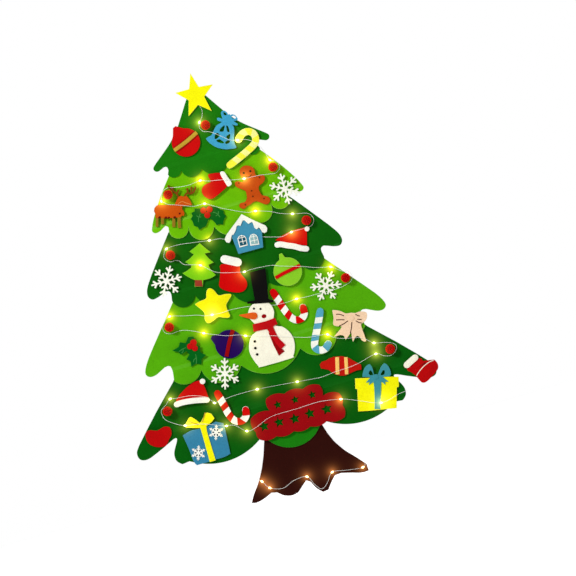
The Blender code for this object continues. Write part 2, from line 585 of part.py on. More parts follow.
BANNER_CORNER_SHARES = (
    (-0.085, -0.795), (-0.088, -0.762), (-0.040, -0.756), (-0.041, -0.727), (0.003, -0.728),
    (0.047, -0.729), (0.086, -0.730), (0.087, -0.757), (0.125, -0.761), (0.125, -0.790), (0.122, -0.818),
    (0.080, -0.816), (0.040, -0.817), (0.000, -0.817), (-0.042, -0.817), (-0.080, -0.815),
)
BANNER_HOLE_SHARES = (
    (-0.063, -0.787, 0.013), (-0.027, -0.787, 0.013), (0.010, -0.790, 0.013), (0.047, -0.788, 0.013),
    (0.087, -0.789, 0.014), (-0.019, -0.748, 0.010), (0.023, -0.748, 0.010), (0.064, -0.748, 0.010),
)
SWEET_SHARES = (
    (-0.39, 0.16), (-0.33, 0.21), (-0.23, 0.21), (-0.14, 0.24), (-0.02, 0.24), (0.15, 0.21), (0.28, 0.13),
    (0.38, 0.02), (0.51, -0.10), (0.49, -0.21), (0.38, -0.20), (0.28, -0.21), (0.11, -0.24),
    (-0.01, -0.22), (-0.12, -0.14), (-0.19, -0.07), (-0.24, 0.00), (-0.39, 0.07),
)
BOOT_SHARES = (
    (-0.29, 0.11), (0.05, 0.27), (0.11, 0.19), (0.18, 0.11), (0.33, 0.15), (0.39, 0.11), (0.42, 0.01),
    (0.40, -0.07), (0.34, -0.13), (0.10, -0.28), (-0.01, -0.30), (-0.07, -0.25), (-0.13, -0.11),
    (-0.21, 0.01),
)
BOOT_CUFF_SHARES = (
    (-0.27, 0.19), (-0.03, 0.30),
)

# Pieces of the pattern that aren't outlines, as shares of the piece that they belong to.
STAR_WAIST_SHARE = 0.42
SOFT_STAR_WAIST_SHARE = 0.62
BANNER_STAR_WAIST_SHARE = 0.48
BANNER_LOBE_SHARE = 0.14
BANNER_PAD_SHARES = ((-0.042, 0.0), (0.067, 0.002))
SWEET_BAND_SHARES = (-0.015, 0.18)

# Places on the tree, in shares of its height.
ORNAMENT_PLACE_SHARES = (
    ("top_star", -0.001, -0.023),
    ("red_bauble", -0.052, -0.119),
    ("blue_bell", 0.0325, -0.1205),
    ("yellow_cane", 0.0665, -0.1665),
    ("red_mitten", -0.014, -0.231),
    ("gingerbread_figure", 0.062, -0.2565),
    ("snowflake_1", 0.134, -0.283),
    ("snowflake_2", -0.182, -0.409),
    ("snowflake_3", 0.162, -0.520),
    ("snowflake_4", -0.1135, -0.6475),
    ("reindeer", -0.1145, -0.249),
    ("holly_sprig_1", -0.052, -0.292),
    ("little_tree", -0.1035, -0.396),
    ("snow_house", 0.021, -0.3555),
    ("pointed_hat_1", 0.116, -0.4035),
    ("stocking", -0.0335, -0.4415),
    ("green_bauble", 0.088, -0.465),
    ("snowman", 0.0045, -0.6105),
    ("red_cane_1", 0.0705, -0.5425),
    ("blue_cane", 0.1165, -0.615),
    ("bow", 0.199, -0.614),
    ("yellow_star", -0.0940, -0.4935),
    ("holly_sprig_2", -0.170, -0.566),
    ("purple_bauble", -0.085, -0.586),
    ("pointed_hat_2", -0.196, -0.671),
    ("red_cane_2", -0.116, -0.719),
    ("low_mitten", -0.296, -0.746),
    ("blue_gift", -0.198, -0.780),
    ("yellow_gift", 0.207, -0.776),
    ("red_banner", 0.020, -0.778),
    ("wrapped_sweet", 0.138, -0.704),
    ("boot", 0.3145, -0.763),
)
POMPOM_PLACE_SHARES = (
    (0.0015, -0.094), (0.122, -0.228), (-0.124, -0.222), (0.161, -0.365), (-0.157, -0.355), (0.210, -0.515),
    (-0.205, -0.511), (0.262, -0.698), (-0.262, -0.693),
)
# Each snowflake's layer, the layer that its pad reaches, and its turn.
FLAKE_SEATS = ((1, 1, 0.52), (1, 0, 0.0), (0, 0, 0.17), (1, 1, -0.26))
CASE_DROP_SHARE = -0.865


def band(angle, length, width, offset=0.0):
    """A straight strip of felt at an angle across an ornament."""
    outline = turned([(-length / 2, -width / 2), (length / 2, -width / 2), (length / 2, width / 2),
                      (-length / 2, width / 2)], angle)
    return [(x + offset, z) for x, z in outline]


def bauble(name, layer, cap_angle, neck, band_angle, colour, pad_layer=None):
    """A round ornament that tapers to a tip at the top, from a neck in radians, with a band across it."""
    radius, half_tip = BAUBLE_DIAMETER / 2, BAUBLE_TIP_WIDTH / 2
    steps = 36
    angles = [neck + (math.tau - 2 * neck) * i / steps for i in range(steps + 1)]
    top = radius + BAUBLE_TIP_HEIGHT
    outline = [(radius * math.cos(a), radius * math.sin(a)) for a in angles]
    outline += [(top, -half_tip), (top, half_tip)]
    ornament = Ornament(name, layer, turned(outline, cap_angle), colour)
    ornament.pad(layer=pad_layer, radius=WIDE_PAD_RADIUS)
    band_length = BAUBLE_DIAMETER - BAUBLE_BAND_WIDTH / 4
    ornament.raise_shape("band", band(band_angle, band_length, BAUBLE_BAND_WIDTH))


def cane(name, layer, shares, length, colour, pad_share):
    """A felt candy cane along its centre line."""
    scale = length / max(extent(shares), extent(shares, 1))
    path = smooth_path(scaled(shares, scale), 3)
    Ornament(name, layer, strip(path, CANE_FELT_WIDTH / 2), colour, scale=scale).pad(pad_share)


def make_stars():
    """The star on top and the soft star lower down."""
    points = star(1, STAR_WAIST_SHARE, 0.05)
    outline = scaled(points, STAR_WIDTH / extent(points), STAR_HEIGHT / extent(points, 1))
    Ornament("top_star", 0, outline, YELLOW).pad(radius=WIDE_PAD_RADIUS)
    soft = cut_out("yellow_star", 1, star(1, SOFT_STAR_WAIST_SHARE), SOFT_STAR_WIDTH, YELLOW, 3)
    soft.pad((0, 0.29))


def make_snowflakes():
    """The four snowflakes."""
    for number, (layer, pad_layer, turn) in enumerate(FLAKE_SEATS, 1):
        outline = scaled(flake_outline(), FLAKE_DIAMETER / 2)
        Ornament(f"snowflake_{number}", layer, outline, CREAM, turn=turn).pad(layer=pad_layer)


def make_round_and_striped():
    """The baubles and the candy canes."""
    bauble("red_bauble", 0, 1.94, 0.50, 0.37, RED)
    bauble("green_bauble", 1, 1.68, 0.22, 0.19, (0.25, 0.60, 0.06))
    bauble("purple_bauble", 1, 2.50, 0.42, 1.03, (0.02, 0.0, 0.09), 0)
    cane("yellow_cane", 1, YELLOW_CANE_SHARES, YELLOW_CANE_LENGTH, (0.90, 0.92, 0.35), (-0.04, -0.16))
    cane("red_cane_1", 0, RED_CANE_SHARES, RED_CANE_LENGTH, RED, (-0.18, 0.10))
    cane("blue_cane", 1, BLUE_CANE_SHARES, BLUE_CANE_LENGTH, (0.20, 0.55, 0.62), (-0.13, -0.17))
    cane("red_cane_2", 2, LOW_CANE_SHARES, LOW_CANE_LENGTH, RED, (-0.04, -0.38))


def make_clothes():
    """The mittens, the stocking, the boot and the pointed hats."""
    mitten = cut_out("red_mitten", 1, MITTEN_SHARES, MITTEN_WIDTH, RED, 2)
    mitten.pad((-0.07, -0.035), 0, WIDE_PAD_RADIUS)
    mitten.raise_shape("cuff", scaled(MITTEN_CUFF_SHARES, mitten.scale))
    cut_out("low_mitten", 2, LOW_MITTEN_SHARES, LOW_MITTEN_WIDTH, RED, 2).pad((0, -0.05))
    stocking = cut_out("stocking", 1, STOCKING_SHARES, STOCKING_WIDTH, RED, 2)
    stocking.pad((0, -0.18), 1, WIDE_PAD_RADIUS)
    stocking.raise_strip("cuff", STOCKING_CUFF_SHARES, STOCKING_CUFF_WIDTH)
    boot = cut_out("boot", 2, BOOT_SHARES, BOOT_WIDTH, RED, 2)
    boot.pad((-0.04, 0.06))
    boot.raise_strip("cuff", BOOT_CUFF_SHARES, BOOT_CUFF_WIDTH)
    hat = cut_out("pointed_hat_1", 0, HAT_SHARES, HAT_WIDTH, RED)
    hat.pad((0.12, 0.12))
    hat.raise_strip("brim", HAT_BRIM_SHARES, HAT_BRIM_WIDTH)
    low_hat = cut_out("pointed_hat_2", 1, LOW_HAT_SHARES, LOW_HAT_WIDTH, RED)
    low_hat.pad((0, 0.04), 0)
    low_hat.raise_strip("brim", LOW_HAT_BRIM_SHARES, LOW_HAT_BRIM_WIDTH)


def make_figures():
    """The gingerbread figure, the reindeer and the snowman."""
    ginger = (0.45, 0.11, 0.015)
    gingerbread = cut_out("gingerbread_figure", 1, GINGERBREAD_SHARES, GINGERBREAD_WIDTH, ginger, 2)
    gingerbread.pad((0, -0.07), 0, WIDE_PAD_RADIUS)
    reindeer = cut_out("reindeer", 1, REINDEER_SHARES, REINDEER_WIDTH, (0.42, 0.14, 0.02))
    reindeer.pad((-0.20, -0.10), 0, WIDE_PAD_RADIUS)
    snowman = cut_out("snowman", 1, SNOWMAN_SHARES, SNOWMAN_WIDTH, CREAM, 2)
    snowman.pad((0, -0.28), 1, WIDE_PAD_RADIUS)
    snowman.raise_shape("nose", scaled(NOSE_SHARES, snowman.scale))
    snowman.layer_on("top_hat", TOP_HAT_SHARES, TOP_HAT_WIDTH, (0.004, 0.003, 0.003))
    snowman.layer_on("scarf", SCARF_SHARES, SCARF_WIDTH, RED)


def make_greenery():
    """The holly sprigs and the little tree."""
    holly = cut_out("holly_sprig_1", 1, HOLLY_SHARES, HOLLY_WIDTH, LEAF_GREEN)
    holly.pad((-0.01, 0.0))
    holly.raise_shape("berries", smooth(scaled(BERRIES_SHARES, holly.scale), 2))
    cut_out("holly_sprig_2", 1, LOW_HOLLY_SHARES, LOW_HOLLY_WIDTH, LEAF_GREEN).pad((0.05, 0.06), 0)
    cut_out("little_tree", 1, LITTLE_TREE_SHARES, LITTLE_TREE_WIDTH, (0.22, 0.58, 0.03)).pad(layer=0)


def make_house():
    """The snowed-in house with its roof and two windows."""
    house = cut_out("snow_house", 1, WALL_SHARES, HOUSE_WIDTH, (0.06, 0.28, 0.40))
    house.pad((0, -0.16), 0, WIDE_PAD_RADIUS)
    house.layer_on("snow_roof", ROOF_SHARES, ROOF_WIDTH, CREAM)
    for number, window in enumerate(WINDOW_SHARES):
        house.raise_shape(f"window_{number}", scaled(window, house.scale))


def make_gifts():
    """The two gifts with their ribbons, the bow, the bell and the wrapped sweet."""
    blue_gift = cut_out("blue_gift", 2, BLUE_GIFT_SHARES, BLUE_GIFT_WIDTH, GIFT_BLUE)
    blue_gift.pad(radius=WIDE_PAD_RADIUS)
    blue_gift.layer_on("yellow_ribbon", GIFT_BOW_SHARES, YELLOW_RIBBON_WIDTH, YELLOW)
    yellow_gift = cut_out("yellow_gift", 2, YELLOW_GIFT_SHARES, YELLOW_GIFT_WIDTH, YELLOW)
    yellow_gift.pad(radius=WIDE_PAD_RADIUS)
    blue = (0.10, 0.38, 0.50)
    yellow_gift.layer_on("blue_ribbon", BLUE_BOW_SHARES, BLUE_RIBBON_WIDTH, blue, BLUE_BOW_HOLE_SHARES)
    cut_out("bow", 1, BOW_SHARES, BOW_WIDTH, (0.80, 0.52, 0.33), 2).pad((0, 0.02))
    bell = cut_out("blue_bell", 1, BELL_SHARES, BELL_WIDTH, BELL_BLUE, 0, BELL_HOLE_SHARES)
    bell.pad((0.19, 0.25), 0)
    sweet = cut_out("wrapped_sweet", 0, SWEET_SHARES, SWEET_WIDTH, RED)
    sweet.pad()
    for number, share in enumerate(SWEET_BAND_SHARES):
        outline = band(1.32, SWEET_BAND_LENGTH, SWEET_BAND_WIDTH, share * sweet.scale)
        sweet.raise_shape(f"band_{number}", outline)


def make_banner():
    """The red felt banner near the bottom, with a lobed edge and a row of cut-out stars."""
    middle = place_of("red_banner")
    outline = []
    for start, end in zip(BANNER_CORNER_SHARES, BANNER_CORNER_SHARES[1:] + BANNER_CORNER_SHARES[:1]):
        chord = math.hypot(end[0] - start[0], end[1] - start[1])
        outline += arc(start, end, BANNER_LOBE_SHARE * chord, 4)
    local = [(x - middle[0], z - middle[1]) for x, z in outline]
    scale = BANNER_WIDTH / extent(local)
    holes = []
    for x, z, radius in BANNER_HOLE_SHARES:
        points = star(radius, radius * BANNER_STAR_WAIST_SHARE)
        holes.append(scaled([(px + x - middle[0], pz + z - middle[1]) for px, pz in points], scale))
    banner = Ornament("red_banner", 2, scaled(local, scale), RED, holes, scale)
    for place in BANNER_PAD_SHARES:
        banner.pad(place)


def make_pompoms():
    """The yarn balls that are sewn on and hold the light string."""
    for number, (x, z) in enumerate(POMPOM_PLACE_SHARES, 1):
        shape = bmesh.new()
        bmesh.ops.create_uvsphere(shape, u_segments=12, v_segments=8, radius=POMPOM_RADIUS)
        mesh = bpy.data.meshes.new(f"pompom_{number}")
        for corner in shape.verts:
            corner.co.xyz = corner.co.x, corner.co.z, corner.co.y
        bmesh.ops.recalc_face_normals(shape, faces=shape.faces[:])
        shape.to_mesh(mesh)
        shape.free()
        mesh.shade_smooth()
        ball = add_object(f"pompom_{number}", mesh, RED)
        ball.location = (across(x), front_of(0) - FIT_GAP - POMPOM_RADIUS, down(z))


# The light string's route by hand: across and down in shares of the tree's height, and how far its middle
# is in front of the wall, in thicknesses of the tiers' felt. A True is a lamp.
LIGHT_ROUTE_SHARES = (
    (-0.0283, -0.865, -1.0), (-0.045, -0.867, -0.8), (-0.080, -0.885, -0.6), (-0.1000, -0.8965, -0.5),
    (-0.1078, -0.8985, -0.5), (-0.1108, -0.900, 0.4), (-0.1080, -0.902, 1.7), (-0.101, -0.906, 1.95, True),
    (-0.088, -0.925, 1.95, True), (-0.060, -0.934, 1.9), (-0.030, -0.924, 1.9), (0.000, -0.924, 1.95, True),
    (0.012, -0.946, 1.9), (0.025, -0.960, 1.9), (0.041, -0.950, 1.9), (0.058, -0.930, 1.95, True),
    (0.090, -0.935, 1.9), (0.128, -0.939, 1.95, True), (0.1365, -0.9275, 1.6), (0.1385, -0.9245, 0.5),
    (0.132, -0.921, -0.5), (0.100, -0.900, -0.5), (0.062, -0.855, -0.5), (0.060, -0.825, -0.5),
    (0.100, -0.800, -0.5), (0.180, -0.800, -0.5), (0.245, -0.800, -0.5), (0.2670, -0.800, 1.4),
    (0.2728, -0.800, 2.0), (0.2728, -0.800, 3.4), (0.267, -0.800, 4.2), (0.252, -0.801, 5.8),
    (0.2085, -0.809, 6.3, True), (0.160, -0.790, 5.6), (0.143, -0.783, 4.6), (0.123, -0.776, 5.8, True),
    (0.075, -0.768, 5.4), (0.020, -0.769, 5.4), (-0.040, -0.770, 5.4), (-0.080, -0.784, 5.5),
    (-0.102, -0.786, 4.3, True), (-0.125, -0.766, 4.2), (-0.1430, -0.762, 4.9, True), (-0.152, -0.759, 5.5),
    (-0.195, -0.742, 6.2), (-0.232, -0.735, 6.4, True), (-0.258, -0.722, 3.6), (-0.272, -0.711, 2.0),
    (-0.2765, -0.699, 1.9), (-0.275, -0.687, 1.9), (-0.262, -0.6785, 1.9), (-0.249, -0.668, 1.95, True),
    (-0.236, -0.670, 4.2), (-0.200, -0.674, 4.9), (-0.170, -0.686, 5.2), (-0.1600, -0.697, 5.1),
    (-0.1545, -0.7045, 3.6, True), (-0.1490, -0.7040, 5.2), (-0.124, -0.702, 5.4), (-0.112, -0.701, 4.0),
    (-0.090, -0.701, 1.9), (-0.053, -0.702, 1.95, True), (0.000, -0.707, 1.9), (0.039, -0.711, 1.95, True),
    (0.078, -0.715, 1.9), (0.096, -0.716, 3.3), (0.130, -0.713, 4.1), (0.160, -0.712, 4.1),
    (0.180, -0.710, 3.4), (0.195, -0.707, 1.9), (0.228, -0.700, 1.95, True), (0.246, -0.710, 1.9),
    (0.262, -0.7125, 1.9), (0.275, -0.704, 1.9), (0.2765, -0.692, 1.9), (0.262, -0.683, 1.9),
    (0.231, -0.675, 1.95, True), (0.221, -0.667, 3.8), (0.205, -0.655, 4.5), (0.165, -0.645, 4.5),
    (0.146, -0.637, 4.1), (0.135, -0.627, 3.1, True), (0.120, -0.624, 4.4), (0.098, -0.622, 4.5),
    (0.080, -0.618, 3.6), (0.062, -0.612, 4.4), (0.030, -0.600, 5.2), (0.005, -0.592, 5.2),
    (-0.030, -0.583, 4.5), (-0.0445, -0.578, 3.7, True), (-0.058, -0.572, 4.6), (-0.085, -0.566, 5.2),
    (-0.108, -0.557, 4.5), (-0.134, -0.546, 2.1, True), (-0.155, -0.535, 1.9), (-0.180, -0.526, 1.9),
    (-0.205, -0.5265, 1.9), (-0.2185, -0.520, 1.9), (-0.220, -0.508, 1.9), (-0.213, -0.497, 1.9),
    (-0.198, -0.488, 1.95, True), (-0.165, -0.496, 1.9), (-0.135, -0.503, 2.2), (-0.120, -0.509, 4.3),
    (-0.104, -0.511, 4.6, True), (-0.080, -0.513, 4.4), (-0.062, -0.512, 4.2), (-0.045, -0.513, 2.0),
    (-0.020, -0.516, 1.8), (0.010, -0.522, 1.8), (0.036, -0.529, 1.8), (0.042, -0.530, 3.2),
    (0.064, -0.531, 3.2), (0.073, -0.531, 1.9), (0.090, -0.530, 1.95, True), (0.116, -0.532, 1.9),
    (0.127, -0.532, 3.3), (0.165, -0.533, 3.4), (0.190, -0.533, 3.2), (0.205, -0.5305, 1.9),
    (0.219, -0.526, 1.9), (0.2255, -0.515, 1.9), (0.220, -0.502, 1.9), (0.208, -0.4985, 1.9),
    (0.185, -0.482, 1.95, True), (0.172, -0.479, 2.9), (0.150, -0.473, 3.1), (0.126, -0.464, 4.0),
    (0.110, -0.459, 5.2), (0.075, -0.448, 4.9), (0.057, -0.441, 3.6), (0.030, -0.438, 3.1),
    (0.008, -0.437, 3.1), (-0.0065, -0.438, 3.4, True), (-0.016, -0.436, 4.5), (-0.045, -0.429, 4.5),
    (-0.066, -0.422, 4.4), (-0.080, -0.412, 4.5), (-0.098, -0.396, 4.6, True), (-0.118, -0.389, 4.5),
    (-0.131, -0.385, 4.3), (-0.138, -0.379, 2.4), (-0.141, -0.3735, 1.9), (-0.150, -0.3695, 1.9),
    (-0.162, -0.369, 1.9), (-0.1715, -0.360, 1.9), (-0.1715, -0.350, 1.9), (-0.162, -0.3385, 1.95, True),
    (-0.135, -0.337, 1.9), (-0.105, -0.341, 2.8), (-0.063, -0.3475, 3.1, True), (-0.040, -0.350, 2.8),
    (-0.028, -0.354, 1.9), (0.000, -0.358, 1.8), (0.030, -0.3625, 1.8), (0.058, -0.374, 1.8),
    (0.078, -0.380, 1.9), (0.098, -0.385, 3.4), (0.121, -0.381, 3.5, True), (0.145, -0.381, 3.4),
    (0.166, -0.3805, 3.0), (0.1765, -0.372, 1.9), (0.1765, -0.360, 1.9), (0.166, -0.3495, 1.9),
    (0.135, -0.342, 1.95, True), (0.108, -0.333, 2.2), (0.088, -0.323, 3.0), (0.056, -0.3125, 3.1, True),
    (0.040, -0.311, 3.0), (0.020, -0.303, 3.0), (0.002, -0.294, 3.2), (-0.014, -0.286, 4.4),
    (-0.034, -0.274, 4.6), (-0.050, -0.2645, 4.6, True), (-0.068, -0.264, 3.2), (-0.080, -0.262, 4.3),
    (-0.105, -0.252, 4.5), (-0.130, -0.243, 4.5), (-0.137, -0.237, 4.4), (-0.1430, -0.2315, 2.6, True),
    (-0.1395, -0.222, 1.9), (-0.133, -0.2105, 1.9), (-0.122, -0.2065, 1.9), (-0.117, -0.2065, 2.6),
    (-0.1125, -0.2085, 4.4), (-0.095, -0.212, 4.5), (-0.072, -0.214, 4.4), (-0.058, -0.212, 2.2),
    (-0.045, -0.211, 1.95, True), (-0.0395, -0.2130, 4.1), (-0.026, -0.218, 4.5), (-0.005, -0.222, 5.0),
    (0.012, -0.226, 5.1), (0.024, -0.230, 4.6), (0.052, -0.235, 4.6, True), (0.085, -0.237, 4.5),
    (0.098, -0.239, 4.0), (0.110, -0.2405, 1.9), (0.123, -0.2425, 1.9), (0.1345, -0.236, 1.9),
    (0.1365, -0.225, 1.9), (0.1315, -0.216, 1.9), (0.120, -0.2105, 1.95, True), (0.115, -0.195, 1.9),
    (0.111, -0.184, 3.2), (0.106, -0.174, 4.4), (0.092, -0.158, 4.5), (0.078, -0.150, 4.2),
    (0.062, -0.147, 4.6, True), (0.046, -0.142, 4.5), (0.026, -0.126, 4.5), (0.008, -0.112, 4.4),
    (-0.006, -0.1065, 2.4), (-0.0125, -0.099, 1.9), (-0.013, -0.092, 1.9), (-0.010, -0.0835, 1.95, True),
    (-0.001, -0.073, 1.8), (0.003, -0.060, 1.6), (0.001, -0.048, 1.27),
)


def make_light_string():
    """One wire with its lamps as drops on it, from the battery case up to the star."""
    places = [
        (across(row[0]), -row[2] * TIER_FELT, down(row[1]), len(row) > 3)
        for row in LIGHT_ROUTE_SHARES
    ]
    points = []
    for i, (x, y, z, lamp) in enumerate(places):
        if not lamp:
            points.append(((x, y, z), 1))
            continue
        before, after = places[i - 1], places[i + 1]
        run = [after[k] - before[k] for k in range(3)]
        length = math.sqrt(sum(v * v for v in run))
        ahead = [v / length * LAMP_LENGTH / 2 for v in run]
        points.append(((x - ahead[0], y - ahead[1], z - ahead[2]), 1))
        points.append(((x, y, z), LAMP_DIAMETER / WIRE_DIAMETER))
        points.append(((x + ahead[0], y + ahead[1], z + ahead[2]), 1))
    curve = bpy.data.curves.new("light_string", "CURVE")
    curve.dimensions = "3D"
    curve.bevel_depth = WIRE_DIAMETER / 2
    curve.bevel_resolution = 1
    curve.use_fill_caps = True
    spline = curve.splines.new("POLY")
    spline.points.add(len(points) - 1)
    for target, (place, radius) in zip(spline.points, points):
        target.co = (*place, 1)
        target.radius = radius
    add_object("light_string", curve, (0.80, 0.78, 0.70), 0.3, 0.6)


def make_hanging_eye():
    """The cord loop that is sewn behind the top, for a nail or a hook."""
    curve = bpy.data.curves.new("hanging_loop", "CURVE")
    curve.dimensions = "3D"
    curve.bevel_depth = EYE_CORD_DIAMETER / 2
    curve.bevel_resolution = 2
    spline = curve.splines.new("POLY")
    steps = 20
    spline.points.add(steps - 1)
    spline.use_cyclic_u = True
    behind = FIT_GAP + EYE_CORD_DIAMETER / 2
    for i, target in enumerate(spline.points):
        angle = math.tau * i / steps
        x = (EYE_WIDTH - EYE_CORD_DIAMETER) / 2 * math.sin(angle)
        z = (EYE_HEIGHT - EYE_CORD_DIAMETER) / 2 * (math.cos(angle) - 1)
        target.co = (x, behind, z, 1)
    add_object("hanging_loop", curve, (0.75, 0.72, 0.66), 0.9)


def block(name, low, high):
    """A box between two corners."""
    shape = bmesh.new()
    bmesh.ops.create_cube(shape, size=1)
    for corner in shape.verts:
        for k in range(3):
            corner.co[k] = high[k] if corner.co[k] > 0 else low[k]
    mesh = bpy.data.meshes.new(name)
    shape.to_mesh(mesh)
    shape.free()
    return mesh


def make_battery_case():
    """A flat case behind the trunk with two coin cells, a lid that slides off and a switch below."""
    middle_x, middle_z = across(CENTRE_SHARE), down(CASE_DROP_SHARE)
    pocket = CELL_DIAMETER / 2 + CELL_CLEARANCE
    half_x = CELL_SPACING / 2 + pocket + CASE_WALL
    half_z = pocket + CASE_WALL + SWITCH_HEIGHT
    front = FIT_GAP
    floor = front + CASE_WALL
    rim = floor + CELL_THICKNESS + 2 * FIT_GAP
    black = (0.02, 0.02, 0.02)
    shell = block("battery_case", (-half_x, front, -half_z), (half_x, rim, half_z))
    case = add_object("battery_case", shell, black, 0.4)
    case.location = (middle_x, 0, middle_z)
    for number, side in enumerate((-1, 1), 1):
        centre = (side * CELL_SPACING / 2, 0)
        back = rim + OVERRUN
        mesh = plate_mesh(f"pocket_{number}", disc(pocket, 32, centre), back, back - floor)
        combine(case, mesh, "DIFFERENCE")
        back = floor + FIT_GAP + CELL_THICKNESS
        cell = plate_mesh(f"coin_cell_{number}", disc(CELL_DIAMETER / 2, 32, centre), back, CELL_THICKNESS)
        item = add_object(f"coin_cell_{number}", cell, (0.75, 0.75, 0.74), 0.3, 1.0)
        item.location = case.location
    slot_x = SWITCH_LENGTH / 2 + SWITCH_TRAVEL + FIT_GAP
    slot_z = -half_z + SWITCH_HEIGHT
    slot = block("switch_slot", (-slot_x, floor, -half_z - OVERRUN), (slot_x, rim + OVERRUN, slot_z))
    combine(case, slot, "DIFFERENCE")
    seat = rim + FIT_GAP
    cover = block("battery_lid", (-half_x, seat, -half_z), (half_x, seat + CASE_LID, half_z))
    lid = add_object("battery_lid", cover, black, 0.4)
    lid.location = case.location
    low = (-SWITCH_LENGTH / 2, floor + FIT_GAP, -half_z - SWITCH_WIDTH / 2)
    high = (SWITCH_LENGTH / 2, rim - FIT_GAP, slot_z - FIT_GAP)
    switch = add_object("power_switch", block("power_switch", low, high), (0.6, 0.6, 0.6), 0.5)
    switch.location = (middle_x - SWITCH_TRAVEL / 2, 0, middle_z)


def main():
    """Clears the scene and builds the whole tree."""
    for item in list(bpy.data.objects):
        bpy.data.objects.remove(item, do_unlink=True)
    for number in range(len(TIER_SIDE_SHARES)):
        tier(number)
    scallop = [SCALLOP_SHARES[0], SCALLOP_SHARES[1]]
    scallop += arc(scallop[-1], SCALLOP_SHARES[2][:2], SCALLOP_SHARES[2][2], 16)
    flat_piece("hem_scallop", scallop + [SCALLOP_SHARES[3]], 1, (0.02, 0.19, 0.015))
    flat_piece("trunk", TRUNK_SHARES, 0, (0.035, 0.008, 0.004))
    make_hanging_eye()
    make_stars()
    make_snowflakes()
    make_round_and_striped()
    make_clothes()
    make_figures()
    make_greenery()
    make_house()
    make_gifts()
    make_banner()
    make_pompoms()
    make_light_string()
    make_battery_case()
    bpy.context.view_layer.update()


main()
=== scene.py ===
# The looks of the felt Christmas tree: felt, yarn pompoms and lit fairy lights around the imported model.
import json
import math
import random

import bmesh
import bpy
from mathutils import Matrix, Vector


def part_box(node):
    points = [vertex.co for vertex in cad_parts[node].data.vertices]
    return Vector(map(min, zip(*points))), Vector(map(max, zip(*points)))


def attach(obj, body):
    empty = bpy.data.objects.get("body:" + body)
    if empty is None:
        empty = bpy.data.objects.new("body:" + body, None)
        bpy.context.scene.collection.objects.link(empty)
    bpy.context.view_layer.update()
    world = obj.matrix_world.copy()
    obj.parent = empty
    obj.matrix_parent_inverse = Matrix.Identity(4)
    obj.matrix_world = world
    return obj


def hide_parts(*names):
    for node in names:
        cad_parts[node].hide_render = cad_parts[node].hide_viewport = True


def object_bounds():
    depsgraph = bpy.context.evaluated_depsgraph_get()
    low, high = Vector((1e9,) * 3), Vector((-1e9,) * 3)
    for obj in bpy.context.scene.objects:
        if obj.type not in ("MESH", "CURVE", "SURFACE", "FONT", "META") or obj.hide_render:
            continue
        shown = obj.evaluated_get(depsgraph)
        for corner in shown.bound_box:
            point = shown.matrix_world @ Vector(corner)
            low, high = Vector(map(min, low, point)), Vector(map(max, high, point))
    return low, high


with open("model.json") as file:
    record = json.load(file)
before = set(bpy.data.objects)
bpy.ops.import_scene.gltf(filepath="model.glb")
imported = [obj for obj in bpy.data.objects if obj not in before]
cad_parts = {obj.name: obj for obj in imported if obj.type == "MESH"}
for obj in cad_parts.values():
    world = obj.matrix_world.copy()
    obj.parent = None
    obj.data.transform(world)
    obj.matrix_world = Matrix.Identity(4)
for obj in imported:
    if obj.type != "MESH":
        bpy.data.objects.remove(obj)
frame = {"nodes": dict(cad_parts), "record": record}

CAD_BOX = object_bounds()
MM = 0.001
# The outlines are drawn on the pattern, in millimetres. This is where its zero lies in the model, whose own
# zero is the eye that the tree hangs by.
PATTERN_ZERO = (3.0, 45.0)
BODY_OF = {node: body for body, nodes in frame["record"]["behaviour"]["bodies"].items() for node in nodes}

# The ornaments' felt, the trim that is fused to the front of some packed ones, and how far behind the felt's
# front the cut is made that takes this trim off.
ORNAMENT_FELT = 3.0 * MM
RELIEF = 2.0 * MM
LIP = 0.6 * MM
# How far cut edges are rounded: an ornament's, the tree's own felt, and cuts that lie close together.
SOFT_EDGE = 0.6 * MM
HEM_EDGE = 0.75 * MM
FINE_EDGE = 0.35 * MM

# The tree's height and its tiers' felt. Its middle's place and the eye's depth are shares of the height.
TREE_HEIGHT = 1.0
TIER_FELT = 0.003
CENTRE_SHARE = -0.003
EYE_DROP_SHARE = 0.045

